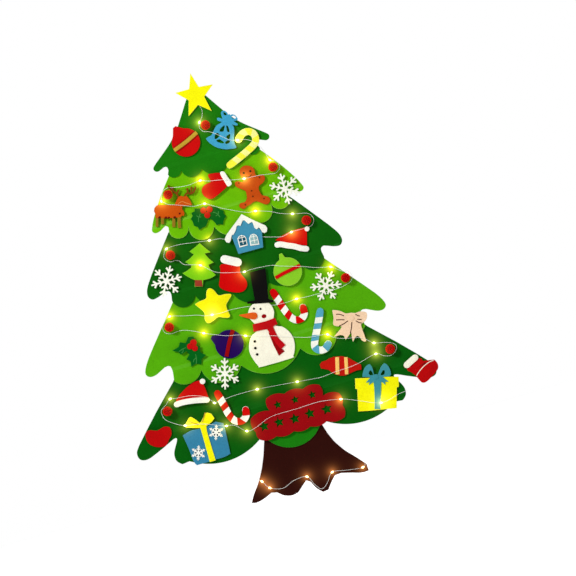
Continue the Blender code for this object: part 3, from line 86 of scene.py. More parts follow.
# The light string's route, chosen as in the part's source: across and up in shares of the tree's
# height, and forwards in thicknesses of the tiers' felt. A row that ends in True is a lamp.
LIGHT_ROUTE_SHARES = (
    (-0.0283, -0.865, -1.0), (-0.045, -0.867, -0.8), (-0.080, -0.885, -0.6), (-0.1000, -0.8965, -0.5),
    (-0.1078, -0.8985, -0.5), (-0.1108, -0.900, 0.4), (-0.1080, -0.902, 1.7), (-0.101, -0.906, 1.95, True),
    (-0.088, -0.925, 1.95, True), (-0.060, -0.934, 1.9), (-0.030, -0.924, 1.9), (0.000, -0.924, 1.95, True),
    (0.012, -0.946, 1.9), (0.025, -0.960, 1.9), (0.041, -0.950, 1.9), (0.058, -0.930, 1.95, True),
    (0.090, -0.935, 1.9), (0.128, -0.939, 1.95, True), (0.1365, -0.9275, 1.6), (0.1385, -0.9245, 0.5),
    (0.132, -0.921, -0.5), (0.100, -0.900, -0.5), (0.062, -0.855, -0.5), (0.060, -0.825, -0.5),
    (0.100, -0.800, -0.5), (0.180, -0.800, -0.5), (0.245, -0.800, -0.5), (0.2670, -0.800, 1.4),
    (0.2728, -0.800, 2.0), (0.2728, -0.800, 3.4), (0.267, -0.800, 4.2), (0.252, -0.801, 5.8),
    (0.2085, -0.809, 6.3, True), (0.160, -0.790, 5.6), (0.143, -0.783, 4.6), (0.123, -0.776, 5.8, True),
    (0.075, -0.768, 5.4), (0.020, -0.769, 5.4), (-0.040, -0.770, 5.4), (-0.080, -0.784, 5.5),
    (-0.102, -0.786, 4.3, True), (-0.125, -0.766, 4.2), (-0.1430, -0.762, 4.9, True), (-0.152, -0.759, 5.5),
    (-0.195, -0.742, 6.2), (-0.232, -0.735, 6.4, True), (-0.258, -0.722, 3.6), (-0.272, -0.711, 2.0),
    (-0.2765, -0.699, 1.9), (-0.275, -0.687, 1.9), (-0.262, -0.6785, 1.9), (-0.249, -0.668, 1.95, True),
    (-0.236, -0.670, 4.2), (-0.200, -0.674, 4.9), (-0.170, -0.686, 5.2), (-0.1600, -0.697, 5.1),
    (-0.1545, -0.7045, 3.6, True), (-0.1490, -0.7040, 5.2), (-0.124, -0.702, 5.4), (-0.112, -0.701, 4.0),
    (-0.090, -0.701, 1.9), (-0.053, -0.702, 1.95, True), (0.000, -0.707, 1.9), (0.039, -0.711, 1.95, True),
    (0.078, -0.715, 1.9), (0.096, -0.716, 3.3), (0.130, -0.713, 4.1), (0.160, -0.712, 4.1),
    (0.180, -0.710, 3.4), (0.195, -0.707, 1.9), (0.228, -0.700, 1.95, True), (0.246, -0.710, 1.9),
    (0.262, -0.7125, 1.9), (0.275, -0.704, 1.9), (0.2765, -0.692, 1.9), (0.262, -0.683, 1.9),
    (0.231, -0.675, 1.95, True), (0.221, -0.667, 3.8), (0.205, -0.655, 4.5), (0.165, -0.645, 4.5),
    (0.146, -0.637, 4.1), (0.135, -0.627, 3.1, True), (0.120, -0.624, 4.4), (0.098, -0.622, 4.5),
    (0.080, -0.618, 3.6), (0.062, -0.612, 4.4), (0.030, -0.600, 5.2), (0.005, -0.592, 5.2),
    (-0.030, -0.583, 4.5), (-0.0445, -0.578, 3.7, True), (-0.058, -0.572, 4.6), (-0.085, -0.566, 5.2),
    (-0.108, -0.557, 4.5), (-0.134, -0.546, 2.1, True), (-0.155, -0.535, 1.9), (-0.180, -0.526, 1.9),
    (-0.205, -0.5265, 1.9), (-0.2185, -0.520, 1.9), (-0.220, -0.508, 1.9), (-0.213, -0.497, 1.9),
    (-0.198, -0.488, 1.95, True), (-0.165, -0.496, 1.9), (-0.135, -0.503, 2.2), (-0.120, -0.509, 4.3),
    (-0.104, -0.511, 4.6, True), (-0.080, -0.513, 4.4), (-0.062, -0.512, 4.2), (-0.045, -0.513, 2.0),
    (-0.020, -0.516, 1.8), (0.010, -0.522, 1.8), (0.036, -0.529, 1.8), (0.042, -0.530, 3.2),
    (0.064, -0.531, 3.2), (0.073, -0.531, 1.9), (0.090, -0.530, 1.95, True), (0.116, -0.532, 1.9),
    (0.127, -0.532, 3.3), (0.165, -0.533, 3.4), (0.190, -0.533, 3.2), (0.205, -0.5305, 1.9),
    (0.219, -0.526, 1.9), (0.2255, -0.515, 1.9), (0.220, -0.502, 1.9), (0.208, -0.4985, 1.9),
    (0.185, -0.482, 1.95, True), (0.172, -0.479, 2.9), (0.150, -0.473, 3.1), (0.126, -0.464, 4.0),
    (0.110, -0.459, 5.2), (0.075, -0.448, 4.9), (0.057, -0.441, 3.6), (0.030, -0.438, 3.1),
    (0.008, -0.437, 3.1), (-0.0065, -0.438, 3.4, True), (-0.016, -0.436, 4.5), (-0.045, -0.429, 4.5),
    (-0.066, -0.422, 4.4), (-0.080, -0.412, 4.5), (-0.098, -0.396, 4.6, True), (-0.118, -0.389, 4.5),
    (-0.131, -0.385, 4.3), (-0.138, -0.379, 2.4), (-0.141, -0.3735, 1.9), (-0.150, -0.3695, 1.9),
    (-0.162, -0.369, 1.9), (-0.1715, -0.360, 1.9), (-0.1715, -0.350, 1.9), (-0.162, -0.3385, 1.95, True),
    (-0.135, -0.337, 1.9), (-0.105, -0.341, 2.8), (-0.063, -0.3475, 3.1, True), (-0.040, -0.350, 2.8),
    (-0.028, -0.354, 1.9), (0.000, -0.358, 1.8), (0.030, -0.3625, 1.8), (0.058, -0.374, 1.8),
    (0.078, -0.380, 1.9), (0.098, -0.385, 3.4), (0.121, -0.381, 3.5, True), (0.145, -0.381, 3.4),
    (0.166, -0.3805, 3.0), (0.1765, -0.372, 1.9), (0.1765, -0.360, 1.9), (0.166, -0.3495, 1.9),
    (0.135, -0.342, 1.95, True), (0.108, -0.333, 2.2), (0.088, -0.323, 3.0), (0.056, -0.3125, 3.1, True),
    (0.040, -0.311, 3.0), (0.020, -0.303, 3.0), (0.002, -0.294, 3.2), (-0.014, -0.286, 4.4),
    (-0.034, -0.274, 4.6), (-0.050, -0.2645, 4.6, True), (-0.068, -0.264, 3.2), (-0.080, -0.262, 4.3),
    (-0.105, -0.252, 4.5), (-0.130, -0.243, 4.5), (-0.137, -0.237, 4.4), (-0.1430, -0.2315, 2.6, True),
    (-0.1395, -0.222, 1.9), (-0.133, -0.2105, 1.9), (-0.122, -0.2065, 1.9), (-0.117, -0.2065, 2.6),
    (-0.1125, -0.2085, 4.4), (-0.095, -0.212, 4.5), (-0.072, -0.214, 4.4), (-0.058, -0.212, 2.2),
    (-0.045, -0.211, 1.95, True), (-0.0395, -0.2130, 4.1), (-0.026, -0.218, 4.5), (-0.005, -0.222, 5.0),
    (0.012, -0.226, 5.1), (0.024, -0.230, 4.6), (0.052, -0.235, 4.6, True), (0.085, -0.237, 4.5),
    (0.098, -0.239, 4.0), (0.110, -0.2405, 1.9), (0.123, -0.2425, 1.9), (0.1345, -0.236, 1.9),
    (0.1365, -0.225, 1.9), (0.1315, -0.216, 1.9), (0.120, -0.2105, 1.95, True), (0.115, -0.195, 1.9),
    (0.111, -0.184, 3.2), (0.106, -0.174, 4.4), (0.092, -0.158, 4.5), (0.078, -0.150, 4.2),
    (0.062, -0.147, 4.6, True), (0.046, -0.142, 4.5), (0.026, -0.126, 4.5), (0.008, -0.112, 4.4),
    (-0.006, -0.1065, 2.4), (-0.0125, -0.099, 1.9), (-0.013, -0.092, 1.9), (-0.010, -0.0835, 1.95, True),
    (-0.001, -0.073, 1.8), (0.003, -0.060, 1.6), (0.001, -0.048, 1.27),
)


def place(point):
    """World x and z of a point of the pattern, given in millimetres."""
    return (point[0] + PATTERN_ZERO[0]) * MM, (point[1] + PATTERN_ZERO[1]) * MM


def linear(red, green, blue):
    """A colour for a shader from one as a screen shows it, 0 to 255."""
    shown = (red / 255, green / 255, blue / 255)
    return (*(((c + 0.055) / 1.055) ** 2.4 if c > 0.04 else c / 12.92 for c in shown), 1.0)


def face_of(node, relief=0.0):
    """World y of the front of an ornament's felt, behind any relief on it."""
    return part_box(node)[0][1] + relief


def route_point(row):
    """The world place of a row of the light string's route."""
    across = row[0] * TREE_HEIGHT - CENTRE_SHARE * TREE_HEIGHT
    up = (row[1] + EYE_DROP_SHARE) * TREE_HEIGHT
    return across, -row[2] * TIER_FELT, up


def is_lamp(row):
    """Whether a row of the light string's route is a lamp."""
    return len(row) > 3


# Outlines and paths.


def curve_point(corners, t):
    """A point on the curve between the second and the third of four corners."""
    weights = (
        (-t + 2 * t * t - t ** 3) / 2,
        (2 - 5 * t * t + 3 * t ** 3) / 2,
        (t + 4 * t * t - 3 * t ** 3) / 2,
        (-t * t + t ** 3) / 2,
    )
    return tuple(sum(w * p[k] for w, p in zip(weights, corners)) for k in range(len(corners[0])))


def smooth(points, steps=4):
    """A closed curve through the points."""
    count = len(points)
    curve = []
    for i in range(count):
        corners = [points[(i + k - 1) % count] for k in range(4)]
        curve += [curve_point(corners, j / steps) for j in range(steps)]
    return curve


def smooth_path(points, steps=4):
    """An open curve through the points."""
    ends = [points[0], *points, points[-1]]
    curve = []
    for i in range(len(points) - 1):
        curve += [curve_point(ends[i:i + 4], j / steps) for j in range(steps)]
    return curve + [points[-1]]


def disc(x, z, radius, steps=20, flat=1.0, turn=0.0):
    """A round outline, or an oval one that is flattened and turned."""
    c, s = math.cos(turn), math.sin(turn)
    outline = []
    for i in range(steps):
        a, b = radius * math.cos(math.tau * i / steps), radius * flat * math.sin(math.tau * i / steps)
        outline.append((x + a * c - b * s, z + a * s + b * c))
    return outline


def side_of(path, i):
    """The direction to the left of a path at one of its points."""
    before, after = path[max(i - 1, 0)], path[min(i + 1, len(path) - 1)]
    length = math.hypot(after[0] - before[0], after[1] - before[1])
    return (before[1] - after[1]) / length, (after[0] - before[0]) / length


def end_cap(end, start, half):
    """The round end of a strip, from the last point of one side half a turn on."""
    begin = math.atan2(start[1] - end[1], start[0] - end[0])
    angles = [begin + math.pi * k / 5 for k in range(1, 5)]
    return [(end[0] + half * math.cos(a), end[1] + half * math.sin(a)) for a in angles]


def strip(path, width, round_ends=True):
    """The outline of a strip along a path, with round or square ends."""
    half = width / 2
    left, right = [], []
    for i, point in enumerate(path):
        side = side_of(path, i)
        left.append((point[0] + half * side[0], point[1] + half * side[1]))
        right.append((point[0] - half * side[0], point[1] - half * side[1]))
    if not round_ends:
        return right + left[::-1]
    return right + end_cap(path[-1], right[-1], half) + left[::-1] + end_cap(path[0], left[0], half)


# Shared shader effects.


def new_group(name, inputs, outputs):
    """An empty shader node group with its sockets."""
    group = bpy.data.node_groups.new(name, "ShaderNodeTree")
    for label, kind in inputs:
        group.interface.new_socket(label, in_out="INPUT", socket_type=kind)
    for label, kind in outputs:
        group.interface.new_socket(label, in_out="OUTPUT", socket_type=kind)
    return group, group.nodes.new("NodeGroupInput"), group.nodes.new("NodeGroupOutput")


def math_node(tree, operation, first, second):
    """A Math node with two inputs, each a socket or a number, and its result."""
    node = tree.nodes.new("ShaderNodeMath")
    node.operation = operation
    for socket, value in zip(node.inputs, (first, second)):
        if isinstance(value, (int, float)):
            socket.default_value = value
        else:
            tree.links.new(value, socket)
    return node.outputs[0]


def lamp_glow_group(lamps):
    """The lamps' light at a place: what falls on the felt, and the bright halo right beside a lamp."""
    reach, near_gain, far_gain, halo_power = 10.0 * MM, 1.8, 0.45, 1.65
    turned_away, turn_gain = 0.4, 1.3
    group, given, result = new_group(
        "lamp_glow",
        [("Vector", "NodeSocketVector"), ("Normal", "NodeSocketVector")],
        [("Glow", "NodeSocketFloat"), ("Halo", "NodeSocketFloat")],
    )
    fading = math.exp(-MM / reach)
    total = None
    for lamp in lamps:
        gap = group.nodes.new("ShaderNodeVectorMath")
        gap.operation = "DISTANCE"
        group.links.new(given.outputs["Vector"], gap.inputs[0])
        gap.inputs[1].default_value = lamp
        steps = math_node(group, "MULTIPLY", gap.outputs["Value"], 1 / MM)
        light = math_node(group, "POWER", fading, steps)
        total = light if total is None else math_node(group, "ADD", total, light)
    axes = group.nodes.new("ShaderNodeSeparateXYZ")
    group.links.new(given.outputs["Normal"], axes.inputs[0])
    front = math_node(group, "SUBTRACT", turned_away, axes.outputs["Y"])
    front = math_node(group, "MAXIMUM", math_node(group, "MULTIPLY", front, turn_gain), 0.0)
    total = math_node(group, "MULTIPLY", total, math_node(group, "MINIMUM", front, 1.0))
    near = math_node(group, "MULTIPLY", math_node(group, "MULTIPLY", total, total), near_gain)
    far = math_node(group, "MULTIPLY", total, far_gain)
    group.links.new(math_node(group, "ADD", near, far), result.inputs["Glow"])
    group.links.new(math_node(group, "POWER", total, halo_power), result.inputs["Halo"])
    return group


def felt_group():
    """Felted fibres: patches of lighter and darker wool, and a matted surface."""
    fibre_scale, fibre_contrast = 1100.0, 0.42
    patch_scale, patch_contrast = 38.0, 0.2
    group, given, result = new_group(
        "felt_fibres",
        [("Vector", "NodeSocketVector"), ("Colour", "NodeSocketColor")],
        [("Colour", "NodeSocketColor"), ("Height", "NodeSocketFloat")],
    )
    fibres = []
    for stretch, turn in (((1.0, 1.0, 0.22), 0.5), ((0.22, 1.0, 1.0), -0.4)):
        mapping = group.nodes.new("ShaderNodeMapping")
        mapping.inputs["Scale"].default_value = stretch
        mapping.inputs["Rotation"].default_value = (0.0, turn, 0.0)
        noise = group.nodes.new("ShaderNodeTexNoise")
        noise.inputs["Scale"].default_value = fibre_scale
        noise.inputs["Detail"].default_value = 3.0
        noise.inputs["Distortion"].default_value = 1.2
        group.links.new(given.outputs["Vector"], mapping.inputs["Vector"])
        group.links.new(mapping.outputs["Vector"], noise.inputs["Vector"])
        fibres.append(noise.outputs[0])
    matted = math_node(group, "ADD", *fibres)
    patches = group.nodes.new("ShaderNodeTexNoise")
    patches.inputs["Scale"].default_value = patch_scale
    patches.inputs["Detail"].default_value = 3.0
    group.links.new(given.outputs["Vector"], patches.inputs["Vector"])
    small = math_node(group, "MULTIPLY", math_node(group, "SUBTRACT", matted, 1.0), fibre_contrast)
    large = math_node(group, "SUBTRACT", patches.outputs[0], 0.5)
    large = math_node(group, "MULTIPLY", large, patch_contrast)
    level = math_node(group, "ADD", math_node(group, "ADD", small, large), 1.0)
    tint = group.nodes.new("ShaderNodeVectorMath")
    tint.operation = "SCALE"
    group.links.new(given.outputs["Colour"], tint.inputs[0])
    group.links.new(level, tint.inputs["Scale"])
    group.links.new(tint.outputs["Vector"], result.inputs["Colour"])
    group.links.new(matted, result.inputs["Height"])
    return group


def use_group(tree, group, vector):
    """Places a shared effect in a material and feeds it the object's coordinates."""
    node = tree.nodes.new("ShaderNodeGroup")
    node.node_tree = group
    tree.links.new(vector, node.inputs["Vector"])
    return node


def new_material(name):
    """A material, its tree, its shader and the object's coordinates. Its glow isn't treated as a lamp."""
    material = bpy.data.materials.new(name)
    material.use_nodes = True
    material.cycles.emission_sampling = "NONE"
    tree = material.node_tree
    shader = tree.nodes["Principled BSDF"]
    where = tree.nodes.new("ShaderNodeTexCoord").outputs["Object"]
    return material, tree, shader, where


def add_glow(tree, shader, where, dyed, light, haze, halo):
    """The lamps' light that dyed felt throws back, and the halo beside each lamp."""
    thrown_back = 1.6
    glow = use_group(tree, LAMP_GLOW, where)
    tree.links.new(where.node.outputs["Normal"], glow.inputs["Normal"])
    thrown = tree.nodes.new("ShaderNodeVectorMath")
    thrown.operation = "MULTIPLY_ADD"
    tree.links.new(dyed, thrown.inputs[0])
    thrown.inputs[1].default_value = (thrown_back, thrown_back, thrown_back)
    thrown.inputs[2].default_value = (haze, haze, haze)
    lit = tree.nodes.new("ShaderNodeVectorMath")
    lit.operation = "SCALE"
    tree.links.new(thrown.outputs["Vector"], lit.inputs[0])
    tree.links.new(glow.outputs["Glow"], lit.inputs["Scale"])
    whole = tree.nodes.new("ShaderNodeVectorMath")
    whole.operation = "MULTIPLY_ADD"
    tree.links.new(glow.outputs["Halo"], whole.inputs[0])
    whole.inputs[1].default_value = (halo, halo, halo)
    tree.links.new(lit.outputs["Vector"], whole.inputs[2])
    tinted = tree.nodes.new("ShaderNodeVectorMath")
    tinted.operation = "MULTIPLY"
    tree.links.new(whole.outputs["Vector"], tinted.inputs[0])
    tinted.inputs[1].default_value = light[:3]
    tree.links.new(tinted.outputs["Vector"], shader.inputs["Emission Color"])
    shader.inputs["Emission Strength"].default_value = 1.0


def painted_edge_tone_group():
    """A painted edge tone on faces that turn away from the front and the back: paler as a painted highlight,
    darker as painted shade.
    """
    group, given, result = new_group(
        "painted_edge_tone",
        [("Vector", "NodeSocketVector"), ("Colour", "NodeSocketColor"), ("Edge", "NodeSocketColor")],
        [("Colour", "NodeSocketColor")],
    )
    axes = group.nodes.new("ShaderNodeSeparateXYZ")
    group.links.new(given.outputs["Vector"], axes.inputs[0])
    facing = math_node(group, "ABSOLUTE", axes.outputs["Y"], 0.0)
    turned = group.nodes.new("ShaderNodeMapRange")
    turned.inputs["From Min"].default_value = 0.98
    turned.inputs["From Max"].default_value = 0.6
    group.links.new(facing, turned.inputs["Value"])
    mix = group.nodes.new("ShaderNodeMixRGB")
    group.links.new(turned.outputs["Result"], mix.inputs["Fac"])
    group.links.new(given.outputs["Colour"], mix.inputs["Color1"])
    group.links.new(given.outputs["Edge"], mix.inputs["Color2"])
    group.links.new(mix.outputs["Color"], result.inputs["Colour"])
    return group


def felt(name, colour, painted_edge_colour=None, light=None, haze=0.07, bloom=1.0):
    """Dyed wool felt, its cut edges given a painted tone (highlight where paler, shade where darker), lit by
    the lamps near it. Pale dyes glow more.
    """
    material, tree, shader, where = new_material(name)
    fibres = use_group(tree, FELT_FIBRES, where)
    fibres.inputs["Colour"].default_value = linear(*colour)
    bump = tree.nodes.new("ShaderNodeBump")
    bump.inputs["Strength"].default_value = 0.4
    bump.inputs["Distance"].default_value = 0.25 * MM
    tree.links.new(fibres.outputs["Height"], bump.inputs["Height"])
    tree.links.new(bump.outputs["Normal"], shader.inputs["Normal"])
    # The cut edges get a painted tone: a paler one is a painted highlight, a darker one painted shade.
    edge = use_group(tree, PAINTED_EDGE_TONE, where.node.outputs["Normal"])
    edge.inputs["Edge"].default_value = linear(*(painted_edge_colour or colour))
    tree.links.new(fibres.outputs["Colour"], edge.inputs["Colour"])
    tree.links.new(edge.outputs["Colour"], shader.inputs["Base Color"])
    shader.inputs["Roughness"].default_value = 0.95
    shader.inputs["Specular IOR Level"].default_value = 0.06
    shader.inputs["Sheen Weight"].default_value = 0.02
    shader.inputs["Sheen Roughness"].default_value = 0.5
    dye = linear(*colour)
    paleness = 0.3 * dye[0] + 0.6 * dye[1] + 0.1 * dye[2]
    halo = bloom * (0.6 + 2.6 * paleness)
    add_glow(tree, shader, where, fibres.outputs["Colour"], linear(*(light or LAMP_LIGHT)), haze, halo)
    return material


def plain(name, colour, roughness, metallic, grain, depth):
    """Moulded plastic or drawn metal with a fine uneven surface."""
    material, tree, shader, where = new_material(name)
    noise = tree.nodes.new("ShaderNodeTexNoise")
    noise.inputs["Scale"].default_value = grain
    noise.inputs["Detail"].default_value = 4.0
    tree.links.new(where, noise.inputs["Vector"])
    bump = tree.nodes.new("ShaderNodeBump")
    bump.inputs["Strength"].default_value = 0.4
    bump.inputs["Distance"].default_value = depth * MM
    tree.links.new(noise.outputs[0], bump.inputs["Height"])
    tree.links.new(bump.outputs["Normal"], shader.inputs["Normal"])
    rough = tree.nodes.new("ShaderNodeMapRange")
    rough.inputs["To Min"].default_value = roughness * 0.8
    rough.inputs["To Max"].default_value = min(roughness * 1.2, 1.0)
    tree.links.new(noise.outputs[0], rough.inputs["Value"])
    tree.links.new(rough.outputs["Result"], shader.inputs["Roughness"])
    shader.inputs["Base Color"].default_value = linear(*colour)
    shader.inputs["Metallic"].default_value = metallic
    return material


def lit_lamp(name, colour, strength):
    """The clear drop over a warm white lamp that is switched on."""
    material, tree, shader, where = new_material(name)
    noise = tree.nodes.new("ShaderNodeTexNoise")
    noise.inputs["Scale"].default_value = 600.0
    tree.links.new(where, noise.inputs["Vector"])
    rough = tree.nodes.new("ShaderNodeMapRange")
    rough.inputs["To Min"].default_value = 0.08
    rough.inputs["To Max"].default_value = 0.2
    tree.links.new(noise.outputs[0], rough.inputs["Value"])
    tree.links.new(rough.outputs["Result"], shader.inputs["Roughness"])
    shader.inputs["Base Color"].default_value = linear(255, 250, 230)
    shader.inputs["Emission Color"].default_value = linear(*colour)
    shader.inputs["Emission Strength"].default_value = strength
    return material


# Making and finishing pieces.


def only(piece):
    """Selects one object and nothing else."""
    bpy.ops.object.select_all(action="DESELECT")
    piece.select_set(True)
    bpy.context.view_layer.objects.active = piece


def settle(piece, carrier, nodes=()):
    """Lets a piece ride with the node that carries it, in the place of the nodes it stands for."""
    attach(piece, BODY_OF[carrier])
    if nodes:
        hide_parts(*nodes)
    return piece


def round_edges(piece, width):
    """Softens a piece's cut edges."""
    only(piece)
    bevel = piece.modifiers.new("soft_edges", "BEVEL")
    bevel.width = width
    bevel.segments = 2
    bevel.limit_method = "ANGLE"
    bevel.angle_limit = math.radians(40)
    bevel.use_clamp_overlap = False
    bpy.ops.object.modifier_apply(modifier=bevel.name)
    bpy.ops.object.shade_smooth_by_angle(angle=math.radians(18))


def round_outline(piece):
    """Rounds the corners between the short straight runs of a curved cut, and keeps its sharp points."""
    straight, pointed = math.radians(3), math.radians(34)
    bpy.ops.mesh.select_all(action="DESELECT")
    mesh = bmesh.from_edit_mesh(piece.data)
    for edge in mesh.edges:
        along = (edge.verts[1].co - edge.verts[0].co).normalized()
        if abs(along.y) > 0.9 and len(edge.link_faces) == 2:
            edge.select_set(straight < edge.calc_face_angle() < pointed)
    mesh.select_flush_mode()
    bmesh.update_edit_mesh(piece.data)
    if any(edge.select for edge in mesh.edges):
        bpy.ops.mesh.bevel(
            offset_type="PERCENT", offset_pct=42, segments=3, affect="EDGES", clamp_overlap=False)


def copy_node(node, material, relief=False, edge=SOFT_EDGE):
    """A felt piece cut to a node's own outline, without the relief that separate pieces make."""
    piece = bpy.data.objects.new(f"{node}_felt", frame["nodes"][node].data.copy())
    bpy.context.collection.objects.link(piece)
    piece.data.materials.clear()
    piece.data.materials.append(material)
    only(piece)
    bpy.ops.object.mode_set(mode="EDIT")
    bpy.ops.mesh.select_all(action="SELECT")
    bpy.ops.mesh.remove_doubles(threshold=0.001 * MM)
    if relief:
        cut = face_of(node, RELIEF) + LIP
        bpy.ops.mesh.bisect(plane_co=(0, cut, 0), plane_no=(0, 1, 0), use_fill=True, clear_inner=True)
        bpy.ops.mesh.select_all(action="DESELECT")
        mesh = bmesh.from_edit_mesh(piece.data)
        for corner in mesh.verts:
            corner.select_set(abs(corner.co.y - cut) < 0.01 * MM)
        bmesh.update_edit_mesh(piece.data)
        bpy.ops.transform.translate(value=(0, -LIP, 0))
    bpy.ops.mesh.select_all(action="SELECT")
    bpy.ops.mesh.dissolve_limited(angle_limit=math.radians(0.5))
    round_outline(piece)
    bpy.ops.object.mode_set(mode="OBJECT")
    round_edges(piece, edge)
    return settle(piece, node, [node])


def cut_shape(name, outlines, back, thickness, material, edge=0.4 * MM):
    """Felt cut to an outline on the pattern, with holes, from its back's y towards the front."""
    least = 0.02 * MM
    curve = bpy.data.curves.new(name, "CURVE")
    curve.dimensions = "2D"
    curve.fill_mode = "BOTH"
    curve.extrude = max(thickness / 2 - edge, least)
    curve.bevel_depth = edge
    curve.bevel_resolution = 1
    curve.offset = -edge
    for outline in outlines:
        spline = curve.splines.new("POLY")
        spline.points.add(len(outline) - 1)
        spline.use_cyclic_u = True
        for target, point in zip(spline.points, outline):
            target.co = (*place(point), 0.0, 1.0)
    piece = bpy.data.objects.new(name, curve)
    bpy.context.collection.objects.link(piece)
    only(piece)
    bpy.ops.object.convert(target="MESH")
    piece = bpy.context.view_layer.objects.active
    upright = Matrix.Rotation(math.pi / 2, 4, "X")
    piece.data.transform(Matrix.Translation((0, back - thickness / 2, 0)) @ upright)
    piece.data.materials.clear()
    piece.data.materials.append(material)
    bpy.ops.object.mode_set(mode="EDIT")
    bpy.ops.mesh.select_all(action="SELECT")
    bpy.ops.mesh.remove_doubles(threshold=0.005 * MM)
    bpy.ops.mesh.normals_make_consistent(inside=False)
    bpy.ops.object.mode_set(mode="OBJECT")
    bpy.ops.object.shade_smooth_by_angle(angle=math.radians(35))
    return piece


def glued(name, node, outlines, felt_name, height=1.0, edge=0.4):
    """Felt shapes glued to the front of an ornament, in millimetres."""
    front = face_of(node, RELIEF if node in FUSED_RELIEF else 0.0)
    slot, material = FELT[felt_name]
    piece = cut_shape(name, outlines, front, height * MM, material, edge * MM)
    return settle(piece, node)


# The felts: each one's material slot and its dye as a screen shows it.
FELT_DYES = {
    "top_green": ("felt_mid_green", (24, 120, 10)),
    "light_green": ("felt_light_green", (106, 188, 4)),
    "dark_green": ("felt_dark_green", (12, 94, 8)),
    "grass_green": ("felt_grass_green", (84, 172, 8)),
    "deep_green": ("felt_deep_green", (4, 90, 8)),
    "hem_green": ("felt_mid_green", (24, 124, 12)),
    "bright_yellow": ("felt_yellow", (255, 250, 8)),
    "warm_yellow": ("felt_yellow", (254, 244, 10)),
    "gold": ("felt_yellow", (196, 160, 50)),
    "band_gold": ("felt_yellow", (255, 205, 110)),
    "christmas_red": ("felt_red", (212, 3, 5)),
    "bauble_red": ("felt_red", (204, 10, 10)),
    "mitten_red": ("felt_red", (206, 6, 10)),
    "dark_red": ("felt_red", (150, 4, 10)),
    "warm_red": ("felt_red", (188, 6, 8)),
    "berry_red": ("felt_red", (196, 8, 12)),
    "banner_red": ("felt_red", (156, 6, 14)),
    "sweet_red": ("felt_red", (196, 22, 12)),
    "scarf_red": ("felt_red", (192, 12, 20)),
    "bell_blue": ("felt_sky_blue", (64, 164, 204)),
    "sky_blue": ("felt_sky_blue", (84, 166, 194)),
    "ribbon_blue": ("felt_sky_blue", (60, 146, 158)),
    "gift_blue": ("felt_blue", (54, 132, 168)),
    "house_blue": ("felt_blue", (66, 146, 178)),
    "pane_blue": ("felt_blue", (24, 84, 104)),
    "pane_pale": ("felt_blue", (150, 190, 190)),
    "gift_dark": ("felt_blue", (14, 34, 52)),
    "lemon": ("felt_pale_yellow", (250, 248, 64)),
    "lemon_pale": ("felt_pale_yellow", (250, 250, 150)),
    "ginger": ("felt_ginger", (196, 74, 14)),
    "ginger_dark": ("felt_ginger", (104, 38, 10)),
    "bark": ("felt_ginger", (156, 58, 40)),
    "deer_tan": ("felt_tan", (204, 82, 10)),
    "deer_dark": ("felt_tan", (96, 10, 10)),
    "deer_antler": ("felt_tan", (124, 66, 12)),
    "deer_leg": ("felt_tan", (148, 116, 30)),
    "deer_pale": ("felt_tan", (226, 140, 70)),
    "snow": ("felt_cream", (250, 250, 240)),
    "flake_white": ("felt_cream", (252, 253, 236)),
    "cream": ("felt_cream", (254, 250, 228)),
    "holly_green": ("felt_leaf", (0, 96, 22)),
    "vein_green": ("felt_leaf", (70, 150, 70)),
    "lime": ("felt_lime", (120, 204, 20)),
    "bauble_lime": ("felt_lime", (138, 206, 40)),
    "peach": ("felt_peach", (250, 214, 178)),
    "peach_fold_shade": ("felt_peach", (70, 34, 22)),
    "purple": ("felt_purple", (34, 4, 84)),
    "black": ("felt_black", (12, 11, 11)),
    "carrot": ("felt_ginger", (232, 96, 26)),
}

# The felts whose cut edges get a painted tone of their own: a painted highlight where it is paler than the
# dye, painted shade where it is darker.
PAINTED_EDGE_TONES = {
    "top_green": (40, 142, 30), "light_green": (176, 228, 110), "dark_green": (30, 118, 30),
    "grass_green": (150, 220, 96), "deep_green": (24, 112, 30), "hem_green": (70, 170, 60),
    "bright_yellow": (255, 254, 140), "warm_yellow": (255, 252, 150), "lemon": (255, 255, 190),
    "bauble_red": (150, 6, 10), "mitten_red": (140, 4, 8), "christmas_red": (160, 4, 8),
    "bell_blue": (140, 210, 232), "sky_blue": (140, 214, 222), "ribbon_blue": (96, 184, 190),
    "gift_blue": (96, 170, 196), "house_blue": (110, 184, 206), "lime": (176, 232, 96),
    "bauble_lime": (196, 238, 120), "peach": (255, 240, 196), "ginger": (150, 50, 8),
    "deer_tan": (150, 56, 8), "holly_green": (20, 120, 44),
}

# Each node that is a cut felt shape, and its felt.
FELT_NODES = {
    "tier_1": "top_green", "tier_2": "light_green", "tier_3": "dark_green", "tier_4": "grass_green",
    "tier_5": "deep_green", "hem_scallop": "hem_green", "trunk": "trunk_brown",
    "top_star": "bright_yellow", "red_bauble": "bauble_red",
    "red_mitten": "mitten_red", "gingerbread_figure": "ginger", "snowflake_1": "flake_white",
    "snowflake_2": "flake_white", "snowflake_3": "flake_white", "snowflake_4": "flake_white",
    "holly_sprig_1": "holly_green", "holly_sprig_2": "holly_green",
    "little_tree": "lime", "snow_house": "house_blue", "snow_roof": "snow", "pointed_hat_1": "christmas_red",
    "pointed_hat_2": "bauble_red", "stocking": "christmas_red", "green_bauble": "bauble_lime",
    "snowman": "cream", "top_hat": "black", "bow": "peach",
    "purple_bauble": "purple", "low_mitten": "warm_red",
    "blue_gift": "gift_blue", "yellow_ribbon": "bright_yellow", "yellow_gift": "bright_yellow",
    "blue_ribbon": "ribbon_blue", "red_banner": "banner_red", "wrapped_sweet": "sweet_red",
    "boot": "warm_red",
}
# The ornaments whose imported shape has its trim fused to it. Their trim is a piece of its own here.
FUSED_RELIEF = (
    "red_bauble", "green_bauble", "purple_bauble", "red_mitten", "holly_sprig_1", "snow_house",
    "pointed_hat_1", "pointed_hat_2", "stocking", "snowman", "wrapped_sweet", "boot",
)

